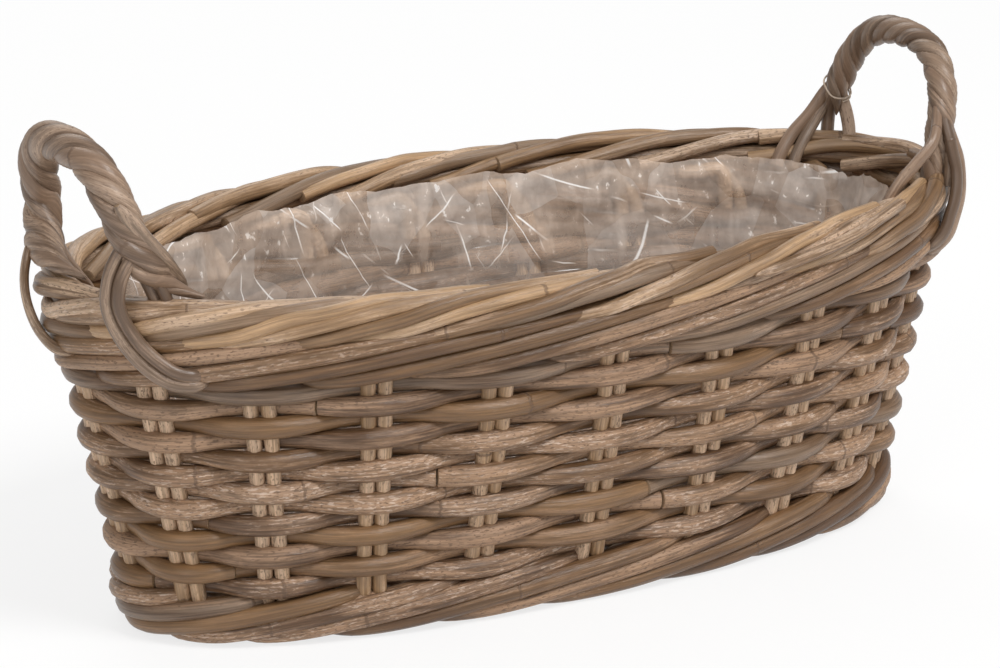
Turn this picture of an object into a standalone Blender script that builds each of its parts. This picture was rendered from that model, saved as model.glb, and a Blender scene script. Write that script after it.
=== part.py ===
"""Oval rattan basket with two roped handles and a lift-out film liner.

Frame: +Z up, origin on the floor at the middle of the foot, +X along the length towards the
end with the slimmer handle, and -Y towards the front. Lengths are in metres.

Twenty pairs of upright stakes stand round an oval foot. Fourteen rods are woven in front of
one pair and behind the next, and pairs of thicker winding (wale) rods lock them above and
below. Above the upper wale each pair of stakes is turned down to the right and rolled over the
rim, so the stakes themselves make the border. Places round the wall are counted in pairs:
pair 0 is at the middle of the front and the count rises towards +X.
"""

import bisect
import math

import bmesh
import bpy
from mathutils import Vector

# Outline of the basket, over the outer faces of its rods
FOOT_HALF_LENGTH = 0.2157
FOOT_HALF_WIDTH = 0.0818
RIM_HALF_LENGTH = 0.2534
RIM_HALF_WIDTH = 0.1280
RIM_HEIGHT = 0.1823
FOOT_OVAL_POWER = 2.3
RIM_OVAL_POWER = 2.0

# Rods of the wall
PAIR_COUNT = 20
PAIR_CROWDING_SHARE = 0.30
ROW_COUNT = 14
FOOT_WALE_COUNT = 2
UPPER_WALE_COUNT = 2
STAKE_RADIUS = 0.0030
ROD_HALF_WIDTH = 0.00415
STAKE_FOOT_CLEARANCE = 0.0010
ROW_CLEARANCE = 0.00034
SEAT_CLEARANCE = 0.00035
BEARING_SHARE = 0.15
WALE_REPEAT = 4

# Border, rolled from the ends of the stakes
BORDER_HALF_HEIGHT = 0.0125
BORDER_ROD_RADIUS = 0.0041
BORDER_START_SHARE = 0.20
BORDER_END_SHARE = 3.40
BORDER_TURN_PER_PAIR = math.radians(80.0)
BORDER_STEPS = 8
STAKE_BEND_SHARE = 0.06

# Base
BASE_RING_COUNT = 5
BASE_ROD_HALF_WIDTH = 0.0040
BASE_ROD_HALF_HEIGHT = 0.0036
BASE_RING_CLEARANCE = 0.0029
BASE_END_SPREAD_SHARE = 1.30
BASE_CLIMB_LENGTH = 0.0120
BASE_LIFT = 0.0008
CROSS_STICK_RADIUS = 0.0038
CROSS_STICK_PAIRS = (-2, -1, 0, 1, 2)
LONG_STICK_RADIUS = 0.0024
SLOT_CLEARANCE = 0.0003
CUTTER_OVERRUN = 0.0010

# Liner
LINER_THICKNESS = 0.0005
LINER_CLEARANCE = 0.0012
LINER_RISE = 0.0010
LINER_CORNER = 0.0120

# Handles
LEFT_ROPE_RADIUS = 0.0095
LEFT_BOW_RISE = 0.0690
LEFT_LEG_ANGLES = (math.radians(205.3), math.radians(160.0))
RIGHT_ROPE_RADIUS = 0.0073
RIGHT_BOW_RISE = 0.0650
RIGHT_LEG_ANGLES = (math.radians(-25.3), math.radians(25.3))
BOW_POWER = 2.4
BOW_STEPS = 15
BOW_TAPER_SHARE = 0.86
BOW_SIDES = 10
STRAND_HALF_THICKNESS = 0.0024
LASHING_HALF_WIDTH = 0.0044
THIN_STRAND_HALF_WIDTH = 0.0028
TAIL_HALF_WIDTH = 0.0034
TAIL_STEPS = 3
LEFT_TAIL_LENGTH = 0.0290
RIGHT_TAIL_LENGTH = 0.0200
RIGHT_TAIL_LIFT = 0.0190
SHORT_TAIL_LIFT = 0.0120

# Reach of the tails across the border, as shares of the wall's half thickness
LEFT_TAIL_REACH_SHARES = (0.00, -0.55)
UPPER_TAIL_REACH_SHARES = (-0.05, -0.40)
LOWER_TAIL_REACH_SHARES = (0.60, 0.35)

# Routes of the lashings. Each place is given as pairs counted from the handle's leg, reach as
# a share of the reach at which a strand lies on the wall, and height as a share of the rim.
LEFT_FRONT_LASHING_SHARES = (
    (-0.02, 1.00, 1.062), (0.00, 1.10, 1.015), (0.04, 1.14, 0.955),
    (0.14, 1.08, 0.880), (0.28, 0.97, 0.810), (0.46, 0.93, 0.765),
)
LEFT_BACK_LASHING_SHARES = (
    (0.00, 1.00, 1.062), (0.10, 1.12, 1.015), (0.30, 1.20, 0.965),
    (0.55, 1.22, 0.900), (0.78, 1.00, 0.830), (0.98, 1.00, 0.790),
)
RIGHT_FRONT_LASHING_SHARES = (
    (0.02, 1.00, 1.062), (0.03, 1.08, 1.015), (0.00, 1.14, 0.950),
    (-0.08, 1.00, 0.870), (-0.20, 1.00, 0.800),
)

OUTLINE_SAMPLES = 1440
LINER_SIDES = 40
SEAT_SAMPLES = 32

STAKE_COLOURS = ((0.27, 0.19, 0.12), (0.32, 0.24, 0.17))
WEAVER_COLOURS = ((0.30, 0.21, 0.13), (0.35, 0.27, 0.20), (0.26, 0.19, 0.13))
WALE_COLOUR = (0.33, 0.24, 0.16)
BASE_COLOUR = (0.29, 0.21, 0.14)
HANDLE_COLOUR = (0.31, 0.23, 0.18)
LINER_COLOUR = (0.82, 0.82, 0.80)
RATTAN_ROUGHNESS = 0.55
LINER_ROUGHNESS = 0.12
SHARP_EDGE_ANGLE = math.radians(40.0)

# Sizes that follow from the ones above
ROD_COUNT = FOOT_WALE_COUNT + ROW_COUNT + UPPER_WALE_COUNT
WALE_TOP = RIM_HEIGHT - 2 * BORDER_HALF_HEIGHT - SEAT_CLEARANCE
ROW_PITCH = (WALE_TOP + ROW_CLEARANCE) / ROD_COUNT
ROD_HALF_HEIGHT = (ROW_PITCH - ROW_CLEARANCE) / 2
WEAVE_REACH = STAKE_RADIUS + SEAT_CLEARANCE + ROD_HALF_WIDTH
WALL_HALF = WEAVE_REACH + ROD_HALF_WIDTH
FIRST_ROW_HEIGHT = ROD_HALF_HEIGHT + FOOT_WALE_COUNT * ROW_PITCH
UPPER_WALE_HEIGHT = FIRST_ROW_HEIGHT + ROW_COUNT * ROW_PITCH
ROLL_HEIGHT = RIM_HEIGHT - BORDER_HALF_HEIGHT
ROLL_RISE = BORDER_HALF_HEIGHT - BORDER_ROD_RADIUS
ROLL_REACH = WALL_HALF - BORDER_ROD_RADIUS
BASE_REACH = CROSS_STICK_RADIUS + SEAT_CLEARANCE + BASE_ROD_HALF_HEIGHT
BASE_MIDDLE = BASE_LIFT + BASE_REACH + BASE_ROD_HALF_HEIGHT
BASE_TOP = BASE_MIDDLE + BASE_REACH + BASE_ROD_HALF_HEIGHT
BASE_INSET = WALL_HALF + SEAT_CLEARANCE
BASE_RING_PITCH = 2 * BASE_ROD_HALF_WIDTH + BASE_RING_CLEARANCE


def clear_scene():
    """Remove every object that the file already holds."""
    for old in list(bpy.data.objects):
        bpy.data.objects.remove(old, do_unlink=True)


def blend(start, end, share):
    """Value a share of the way from start to end."""
    return start + (end - start) * share


def oval_sizes(height):
    """Half length, half width and power of the stake line at a height."""
    share = height / RIM_HEIGHT
    half_length = blend(FOOT_HALF_LENGTH, RIM_HALF_LENGTH, share) - WALL_HALF
    half_width = blend(FOOT_HALF_WIDTH, RIM_HALF_WIDTH, share) - WALL_HALF
    power = blend(FOOT_OVAL_POWER, RIM_OVAL_POWER, min(share, 1.0))
    return half_length, half_width, power


def oval_frame(angle, height):
    """Point on the stake line and the wall's outward direction there."""
    half_length, half_width, power = oval_sizes(height)
    cosine = math.cos(angle)
    sine = math.sin(angle)
    across = math.copysign(abs(cosine) ** (2 / power), cosine)
    along = math.copysign(abs(sine) ** (2 / power), sine)
    point = Vector((half_length * across, half_width * along, height))
    slope = (
        math.copysign(abs(across) ** (power - 1), across) / half_length,
        math.copysign(abs(along) ** (power - 1), along) / half_width,
    )
    return point, Vector((slope[0], slope[1], 0)).normalized()


def wall_point(angle, reach, height):
    """Point at a reach outside the stake line (inside where it is negative)."""
    point, outward = oval_frame(angle, height)
    return point + outward * reach


def measure_outline():
    """Arc lengths of the stake line at mid height, from the middle of the front."""
    lengths = [0.0]
    previous = None
    for step in range(OUTLINE_SAMPLES + 1):
        angle = -math.pi / 2 + 2 * math.pi * step / OUTLINE_SAMPLES
        point = oval_frame(angle, RIM_HEIGHT / 2)[0]
        if previous is not None:
            lengths.append(lengths[-1] + (point - previous).length)
        previous = point
    return lengths


OUTLINE_LENGTHS = measure_outline()


def pair_angle(place):
    """Angle of a place counted in pairs, which stand closer together at the two ends."""
    turns = math.floor(place / PAIR_COUNT)
    local = place - turns * PAIR_COUNT
    crowding = PAIR_CROWDING_SHARE * math.sin(4 * math.pi * local / PAIR_COUNT)
    wanted = (local + crowding) / PAIR_COUNT * OUTLINE_LENGTHS[-1]
    wanted = min(max(wanted, 0.0), OUTLINE_LENGTHS[-1])
    index = min(bisect.bisect_right(OUTLINE_LENGTHS, wanted), OUTLINE_SAMPLES)
    before = OUTLINE_LENGTHS[index - 1]
    part = (wanted - before) / (OUTLINE_LENGTHS[index] - before)
    return -math.pi / 2 + 2 * math.pi * (turns + (index - 1 + part) / OUTLINE_SAMPLES)


def angle_place(angle):
    """Place, counted in pairs, of an angle between the middle of the front and one turn on."""
    low = 0.0
    high = float(PAIR_COUNT)
    target = (angle + math.pi / 2) % (2 * math.pi)
    for _ in range(40):
        middle = (low + high) / 2
        if pair_angle(middle) + math.pi / 2 < target:
            low = middle
        else:
            high = middle
    return low


def new_material(name, colour, roughness, alpha=1.0):
    """Principled material of one piece."""
    material = bpy.data.materials.new(name)
    material.use_nodes = True
    shader = material.node_tree.nodes["Principled BSDF"]
    shader.inputs["Base Color"].default_value = (*colour, 1.0)
    shader.inputs["Roughness"].default_value = roughness
    shader.inputs["Metallic"].default_value = 0.0
    shader.inputs["Alpha"].default_value = alpha
    return material


def add_piece(name, bm, colour, roughness=RATTAN_ROUGHNESS, alpha=1.0):
    """Turn a bmesh into a named object with its own material."""
    bmesh.ops.recalc_face_normals(bm, faces=bm.faces)
    mesh = bpy.data.meshes.new(name)
    bm.to_mesh(mesh)
    bm.free()
    mesh.shade_smooth()
    mesh.set_sharp_from_angle(angle=SHARP_EDGE_ANGLE)
    mesh.materials.append(new_material(name + "_finish", colour, roughness, alpha))
    piece = bpy.data.objects.new(name, mesh)
    bpy.context.scene.collection.objects.link(piece)
    return piece


def skin_loops(loops, closed):
    """Bmesh of a rod through loops of points; an open rod gets a flat cap at each end."""
    bm = bmesh.new()
    rings = [[bm.verts.new(point) for point in loop] for loop in loops]
    count = len(rings[0])
    pairs = list(zip(rings, rings[1:]))
    if closed:
        pairs.append((rings[-1], rings[0]))
    for first, second in pairs:
        for side in range(count):
            other = (side + 1) % count
            bm.faces.new((first[side], first[other], second[other], second[side]))
    if not closed:
        bm.faces.new(rings[0])
        bm.faces.new(list(reversed(rings[-1])))
    return bm


def flat_hexagon(half_width, half_height):
    """Six-sided rod section with flats above and below."""
    return [
        (half_width, 0), (half_width / 2, half_height), (-half_width / 2, half_height),
        (-half_width, 0), (-half_width / 2, -half_height), (half_width / 2, -half_height),
    ]


def twin_section(radius):
    """Section of two rods side by side, drawn in at the waist between them."""
    waist = radius / 2
    return [
        (2 * radius, 0), (radius, radius), (0, waist), (-radius, radius),
        (-2 * radius, 0), (-radius, -radius), (0, -waist), (radius, -radius),
    ]


def round_section(radius, sides):
    """Regular section of one round rod."""
    turns = [2 * math.pi * side / sides for side in range(sides)]
    return [(radius * math.cos(turn), radius * math.sin(turn)) for turn in turns]


def strand_section(half_width, half_thickness):
    """Eight-sided section of a flat strand."""
    return [(half_width * u, half_thickness * v) for u, v in round_section(1, 8)]


def sweep(points, normals, sections):
    """Loops of sections square to a path; u lies along the surface, v along its normal."""
    loops = []
    last = len(points) - 1
    for index, point in enumerate(points):
        heading = (points[min(index + 1, last)] - points[max(index - 1, 0)]).normalized()
        aside = heading.cross(normals[index]).normalized()
        outward = aside.cross(heading).normalized()
        loops.append([point + aside * u + outward * v for u, v in sections[index]])
    return loops


def woven_ring(height, in_front):
    """Closed rod at one height that passes pair by pair in front of or behind the stakes."""
    section = flat_hexagon(ROD_HALF_WIDTH, ROD_HALF_HEIGHT)
    loops = []
    for pair in range(PAIR_COUNT):
        reach = WEAVE_REACH if in_front(pair) else -WEAVE_REACH
        angles = [pair_angle(pair - BEARING_SHARE), pair_angle(pair + BEARING_SHARE)]
        ends = [wall_point(angle, reach, height) for angle in angles]
        facing = oval_frame(pair_angle(pair), height)[1]
        sag = (wall_point(pair_angle(pair), reach, height) - (ends[0] + ends[1]) / 2).dot(facing)
        lift = facing * sag if in_front(pair) else Vector((0, 0, 0))
        for angle, end in zip(angles, ends):
            outward = oval_frame(angle, height)[1]
            loops.append([end + lift + outward * u + Vector((0, 0, v)) for u, v in section])
    return skin_loops(loops, closed=True)


def build_rows():
    """Fourteen woven rows, each in front of every second pair."""
    for row in range(ROW_COUNT):
        height = FIRST_ROW_HEIGHT + row * ROW_PITCH
        bm = woven_ring(height, lambda pair, row=row: (pair + row) % 2 == 0)
        colour = WEAVER_COLOURS[row % len(WEAVER_COLOURS)]
        add_piece(f"weaver_row_{row + 1:02d}", bm, colour)


def build_wales():
    """Wale rods that pass in front of three pairs and behind the fourth."""
    for rod in range(FOOT_WALE_COUNT):
        shift = rod * WALE_REPEAT // 2
        bm = woven_ring(
            ROD_HALF_HEIGHT + rod * ROW_PITCH,
            lambda pair, shift=shift: (pair + shift) % WALE_REPEAT != 0,
        )
        add_piece(f"foot_wale_{rod + 1}", bm, WALE_COLOUR)
    for rod in range(UPPER_WALE_COUNT):
        shift = 1 + rod * WALE_REPEAT // 2
        bm = woven_ring(
            UPPER_WALE_HEIGHT + rod * ROW_PITCH,
            lambda pair, shift=shift: (pair + shift) % WALE_REPEAT != 0,
        )
        add_piece(f"upper_wale_{rod + 1}", bm, WALE_COLOUR)


def border_centre(pair, share):
    """Place, reach and height of a rolled stake end, a share of pairs past its own pair."""
    turn = -math.pi / 2 + (share - BORDER_START_SHARE) * BORDER_TURN_PER_PAIR
    reach = ROLL_REACH * math.cos(turn)
    height = ROLL_HEIGHT + ROLL_RISE * math.sin(turn)
    return pair + share, reach, height


def build_stakes():
    """Pairs of stakes, upright in the wall and rolled over the rim as one stroke."""
    twin = twin_section(STAKE_RADIUS)
    drawn_in = strand_section(BORDER_ROD_RADIUS, STAKE_RADIUS)
    single = round_section(BORDER_ROD_RADIUS, 8)
    bend_height = ROLL_HEIGHT - ROLL_RISE - BORDER_ROD_RADIUS / 2
    for pair in range(PAIR_COUNT):
        places = [
            (pair, 0, STAKE_FOOT_CLEARANCE),
            (pair, 0, (STAKE_FOOT_CLEARANCE + UPPER_WALE_HEIGHT) / 2),
            (pair, 0, UPPER_WALE_HEIGHT),
            (pair + STAKE_BEND_SHARE, 0, bend_height),
        ]
        sections = [twin, twin, twin, drawn_in]
        for step in range(BORDER_STEPS + 1):
            share = blend(BORDER_START_SHARE, BORDER_END_SHARE, step / BORDER_STEPS)
            places.append(border_centre(pair, share))
            sections.append(single)
        points = []
        normals = []
        for place, reach, height in places:
            angle = pair_angle(place)
            points.append(wall_point(angle, reach, height))
            normals.append(oval_frame(angle, height)[1])
        bm = skin_loops(sweep(points, normals, sections), closed=False)
        colour = STAKE_COLOURS[pair % len(STAKE_COLOURS)]
        add_piece(f"stake_pair_{pair + 1:02d}", bm, colour)


def base_outline(height, inset):
    """Quarter outline of the base as points from the end to the middle of the side."""
    quarter = OUTLINE_SAMPLES // 4
    return [
        wall_point(math.pi / 2 * step / quarter, -inset, height) for step in range(quarter + 1)
    ]


def width_at(outline, along):
    """Half width of an outline at a distance along its length."""
    for first, second in zip(outline, outline[1:]):
        if second.x <= along:
            share = (first.x - along) / (first.x - second.x)
            return blend(first.y, second.y, share)
    return outline[-1].y


def angle_at(outline, along):
    """Quarter-turn angle at which an outline reaches a distance along its length."""
    quarter = len(outline) - 1
    for index, (first, second) in enumerate(zip(outline, outline[1:])):
        if second.x <= along:
            share = (first.x - along) / (first.x - second.x)
            return math.pi / 2 * (index + share) / quarter
    return math.pi / 2


def ring_scale(outline, ring):
    """Scales along and across that draw the outermost ring in to a ring nearer the middle."""
    drawn_in = ring * BASE_RING_PITCH
    return (
        1 - drawn_in * BASE_END_SPREAD_SHARE / outline[0].x,
        1 - drawn_in / outline[-1].y,
    )


def stick_places():
    """Distances along the length at which the cross sticks lie."""
    return [oval_frame(pair_angle(pair), BASE_MIDDLE)[0].x for pair in CROSS_STICK_PAIRS]


def build_base_rings():
    """Concentric oval rods, each over one stick and under the next."""
    section = flat_hexagon(BASE_ROD_HALF_WIDTH, BASE_ROD_HALF_HEIGHT)
    bearing = CROSS_STICK_RADIUS + BASE_ROD_HALF_HEIGHT / 2
    end_bearing = 2 * LONG_STICK_RADIUS + SEAT_CLEARANCE + BASE_ROD_HALF_WIDTH
    inset = BASE_INSET + BASE_ROD_HALF_WIDTH
    outline = base_outline(BASE_LIFT, inset)
    for ring in range(BASE_RING_COUNT):
        scale = ring_scale(outline, ring)
        widths = [point.y * scale[1] for point in outline]
        end_along = outline[bisect.bisect_left(widths, end_bearing)].x * scale[0]
        crossings = []
        for along in sorted(stick_places(), reverse=True):
            if abs(along) + bearing + BASE_CLIMB_LENGTH > end_along:
                end_along = min(end_along, abs(along) - bearing)
                continue
            angles = []
            for edge in (along + bearing, along - bearing):
                quarter_turn = angle_at(outline, abs(edge) / scale[0])
                angles.append(quarter_turn if edge > 0 else math.pi - quarter_turn)
            crossings.append(angles)
        end_angle = angle_at(outline, end_along / scale[0])
        around = [(-end_angle, -end_angle / 2, 0, end_angle / 2, end_angle)]
        around += crossings
        around.append([math.pi + angle for angle in around[0]])
        around += [(-angles[1], -angles[0]) for angles in reversed(crossings)]
        loops = []
        for index, angles in enumerate(around):
            over = 1 if (index + ring) % 2 == 0 else -1
            for angle in angles:
                outward = oval_frame(angle, BASE_LIFT)[1]
                outward = Vector((outward.x / scale[0], outward.y / scale[1], 0)).normalized()
                middle = wall_point(angle, -inset, BASE_LIFT)
                middle.x *= scale[0]
                middle.y *= scale[1]
                middle.z = BASE_MIDDLE + over * BASE_REACH
                loops.append([middle + outward * u + Vector((0, 0, v)) for u, v in section])
        add_piece(f"base_ring_{ring + 1}", skin_loops(loops, closed=True), BASE_COLOUR)


def add_slot_cutter(name, middle):
    """Box that opens the slot in a cross stick for the two long sticks."""
    bm = bmesh.new()
    bmesh.ops.create_cube(bm, size=1)
    size = Vector((
        2 * (CROSS_STICK_RADIUS + CUTTER_OVERRUN),
        2 * (2 * LONG_STICK_RADIUS + SLOT_CLEARANCE),
        2 * (LONG_STICK_RADIUS + SLOT_CLEARANCE),
    ))
    bmesh.ops.scale(bm, vec=size, verts=bm.verts)
    bmesh.ops.translate(bm, vec=middle, verts=bm.verts)
    mesh = bpy.data.meshes.new(name)
    bm.to_mesh(mesh)
    bm.free()
    cutter = bpy.data.objects.new(name, mesh)
    bpy.context.scene.collection.objects.link(cutter)
    cutter.hide_render = True
    cutter.display_type = "WIRE"
    return cutter


def build_base_sticks():
    """Cross sticks with slots, and the pair of long sticks threaded through them."""
    outline = base_outline(BASE_MIDDLE - CROSS_STICK_RADIUS, BASE_INSET)
    section = round_section(CROSS_STICK_RADIUS, 12)
    for number, along in enumerate(stick_places(), start=1):
        half = width_at(outline, abs(along) + CROSS_STICK_RADIUS)
        loops = []
        for side in (-half, half):
            middle = Vector((along, side, BASE_MIDDLE))
            loops.append([middle + Vector((u, 0, v)) for u, v in section])
        stick = add_piece(f"base_cross_stick_{number}", skin_loops(loops, False), BASE_COLOUR)
        middle = Vector((along, 0, BASE_MIDDLE))
        slot = stick.modifiers.new("slot", "BOOLEAN")
        slot.operation = "DIFFERENCE"
        slot.solver = "EXACT"
        slot.object = add_slot_cutter(f"slot_cutter_{number}", middle)
    half = outline[0].x - 2 * LONG_STICK_RADIUS
    loops = []
    for end in (-half, half):
        middle = Vector((end, 0, BASE_MIDDLE))
        loops.append([middle + Vector((0, u, v)) for u, v in twin_section(LONG_STICK_RADIUS)])
    add_piece("base_long_sticks", skin_loops(loops, closed=False), BASE_COLOUR)


def seat_height(middle, radius):
    """Lowest height at which a flat-ended round leg clears the rolled border beneath it."""
    highest = WALE_TOP
    for pair in range(PAIR_COUNT):
        for sample in range(SEAT_SAMPLES + 1):
            share = blend(BORDER_START_SHARE, BORDER_END_SHARE, sample / SEAT_SAMPLES)
            place, reach, height = border_centre(pair, share)
            point = wall_point(pair_angle(place), reach, height)
            aside = max((point - middle).xy.length - radius, 0)
            if aside < BORDER_ROD_RADIUS:
                touch = height + math.sqrt(BORDER_ROD_RADIUS ** 2 - aside ** 2)
                highest = max(highest, touch)
    return highest + SEAT_CLEARANCE


def bow_points(leg_angles, rope_radius, rise):
    """Centre line of a bow, from its front leg over the top to its back leg."""
    bases = [wall_point(angle, 0, RIM_HEIGHT) for angle in leg_angles]
    seats = [seat_height(base, rope_radius) for base in bases]
    middle = (bases[0] + bases[1]) / 2
    half_span = (bases[1] - bases[0]) / 2
    lean = bow_lean(leg_angles)
    points = []
    for step in range(BOW_STEPS + 1):
        turn = math.pi * step / BOW_STEPS
        aside = -math.copysign(abs(math.cos(turn)) ** (2 / BOW_POWER), math.cos(turn))
        seat = seats[0] if step < BOW_STEPS / 2 else seats[1]
        up = abs(math.sin(turn)) ** (2 / BOW_POWER) if 0 < step < BOW_STEPS else 0
        height = blend(seat, RIM_HEIGHT + rise, up)
        point = middle + half_span * aside + lean * (height - RIM_HEIGHT)
        point.z = height
        points.append(point)
    return points


def bow_lean(leg_angles):
    """Outward lean of a bow for each unit of height, which carries on the wall's flare."""
    outward = oval_frame((leg_angles[0] + leg_angles[1]) / 2, RIM_HEIGHT)[1]
    return outward * (RIM_HALF_LENGTH - FOOT_HALF_LENGTH) / RIM_HEIGHT


def build_bow(name, leg_angles, rope_radius, rise):
    """Roped bow that stands on the border and leans out as the wall does."""
    points = bow_points(leg_angles, rope_radius, rise)
    plane = (points[-1] - points[0]).cross(Vector((0, 0, 1)) + bow_lean(leg_angles)).normalized()
    loops = []
    last = len(points) - 1
    for index, point in enumerate(points):
        heading = (points[min(index + 1, last)] - points[max(index - 1, 0)]).normalized()
        radius = rope_radius
        if index in (0, last):
            heading = Vector((0, 0, 1 if index == 0 else -1))
            radius = rope_radius * BOW_TAPER_SHARE
        across = plane.cross(heading).normalized()
        level = heading.cross(across)
        section = round_section(radius, BOW_SIDES)
        loops.append([point + across * u + level * v for u, v in section])
    add_piece(name, skin_loops(loops, closed=False), HANDLE_COLOUR)


def smooth_route(route):
    """Route with its corners cut, keeping both ends."""
    cut = [route[0]]
    for first, second in zip(route, route[1:]):
        cut.append(tuple(blend(a, b, 1 / 4) for a, b in zip(first, second)))
        cut.append(tuple(blend(a, b, 3 / 4) for a, b in zip(first, second)))
    cut.append(route[-1])
    return cut


def build_lashing(name, leg_angle, route_shares, half_width):
    """Flat strand that leaves a leg, passes outside the border and ends against the wall."""
    leg_place = angle_place(leg_angle)
    laid = WALL_HALF + SEAT_CLEARANCE + STRAND_HALF_THICKNESS
    points = []
    normals = []
    for step, reach_share, height_share in smooth_route(route_shares):
        angle = pair_angle(leg_place + step)
        height = RIM_HEIGHT * height_share
        points.append(wall_point(angle, laid * reach_share, height))
        normals.append(oval_frame(angle, height)[1])
    sections = [strand_section(half_width, STRAND_HALF_THICKNESS)] * len(points)
    add_piece(name, skin_loops(sweep(points, normals, sections), False), HANDLE_COLOUR)


def place_along(place, distance):
    """Place at a distance along the rim from another place."""
    ends = [wall_point(pair_angle(place + side), 0, RIM_HEIGHT) for side in (-1 / 2, 1 / 2)]
    return place + distance / (ends[1] - ends[0]).length


def build_tail(name, leg_angle, rope_radius, length, lift, reach_shares):
    """Tail of a rope that comes down beside its leg and lies along the top of the border."""
    leg_place = angle_place(leg_angle)
    start = rope_radius + SEAT_CLEARANCE + TAIL_HALF_WIDTH
    points = []
    for step in range(TAIL_STEPS + 1):
        share = step / TAIL_STEPS
        angle = pair_angle(place_along(leg_place, start + length * share))
        point = wall_point(angle, WALL_HALF * blend(*reach_shares, share), RIM_HEIGHT)
        seat = seat_height(point, STRAND_HALF_THICKNESS) + STRAND_HALF_THICKNESS
        point.z = seat + lift * (1 - share) ** 2
        points.append(point)
    normals = [Vector((0, 0, 1))] * len(points)
    sections = [strand_section(TAIL_HALF_WIDTH, STRAND_HALF_THICKNESS)] * len(points)
    add_piece(name, skin_loops(sweep(points, normals, sections), False), HANDLE_COLOUR)


def build_handles():
    """Two roped bows with the lashings and tails that hold them to the border."""
    front, back = LEFT_LEG_ANGLES
    rope = LEFT_ROPE_RADIUS
    build_bow("left_handle_bow", LEFT_LEG_ANGLES, rope, LEFT_BOW_RISE)
    build_lashing("left_front_lashing", front, LEFT_FRONT_LASHING_SHARES, LASHING_HALF_WIDTH)
    build_lashing("left_back_lashing", back, LEFT_BACK_LASHING_SHARES, THIN_STRAND_HALF_WIDTH)
    reach_shares = LEFT_TAIL_REACH_SHARES
    build_tail("left_front_tail", front, rope, LEFT_TAIL_LENGTH, SHORT_TAIL_LIFT, reach_shares)
    build_tail("left_back_tail", back, rope, LEFT_TAIL_LENGTH, SHORT_TAIL_LIFT, reach_shares)
    front, back = RIGHT_LEG_ANGLES
    rope = RIGHT_ROPE_RADIUS
    build_bow("right_handle_bow", RIGHT_LEG_ANGLES, rope, RIGHT_BOW_RISE)
    build_lashing("right_front_lashing", front, RIGHT_FRONT_LASHING_SHARES, LASHING_HALF_WIDTH)
    length = RIGHT_TAIL_LENGTH
    build_tail("right_upper_tail", back, rope, length, RIGHT_TAIL_LIFT, UPPER_TAIL_REACH_SHARES)
    build_tail("right_lower_tail", back, rope, length, SHORT_TAIL_LIFT, LOWER_TAIL_REACH_SHARES)


def build_liner():
    """Open film cup that stands on the base and follows the inside of the wall."""
    inset = WALL_HALF + LINER_CLEARANCE
    floor = BASE_TOP + SEAT_CLEARANCE
    levels = (
        (floor, inset + LINER_CORNER),
        (floor + LINER_CORNER / 3, inset + LINER_CORNER / 3),
        (floor + LINER_CORNER, inset),
        (WALE_TOP + LINER_RISE, inset),
    )
    bm = bmesh.new()
    rings = []
    for height, level_inset in levels:
        turns = [2 * math.pi * side / LINER_SIDES for side in range(LINER_SIDES)]
        rings.append([bm.verts.new(wall_point(turn, -level_inset, height)) for turn in turns])
    bm.faces.new(list(reversed(rings[0])))
    for lower, upper in zip(rings, rings[1:]):
        for side in range(LINER_SIDES):
            other = (side + 1) % LINER_SIDES
            bm.faces.new((lower[side], lower[other], upper[other], upper[side]))
    mesh = bpy.data.meshes.new("film_liner")
    bm.to_mesh(mesh)
    bm.free()
    mesh.shade_smooth()
    mesh.materials.append(new_material("film_liner_finish", LINER_COLOUR, LINER_ROUGHNESS, 0.3))
    liner = bpy.data.objects.new("film_liner", mesh)
    bpy.context.scene.collection.objects.link(liner)
    wall = liner.modifiers.new("film", "SOLIDIFY")
    wall.thickness = LINER_THICKNESS
    wall.offset = -1


def main():
    """Build the whole basket."""
    clear_scene()
    build_stakes()
    build_rows()
    build_wales()
    build_base_rings()
    build_base_sticks()
    build_handles()
    build_liner()


main()
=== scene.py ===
"""Looks of the oval rattan basket: its canes, ropes and film liner, with camera and light.

Lengths are in metres, in the part's own frame: +Z up, origin on the floor under the middle of
the basket, -Y towards the front. Places round the wall are counted in stake pairs, from the
middle of the front towards +X. Reach is the distance outside the line of the stakes.
"""

import bisect
import logging
import math
import random
from collections.abc import Sequence
from dataclasses import dataclass, field
from enum import Enum
from functools import cached_property
from itertools import accumulate
from typing import ClassVar

import bpy
import numpy as np
from mathutils import Matrix, Vector
from mathutils import noise as perlin


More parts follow.
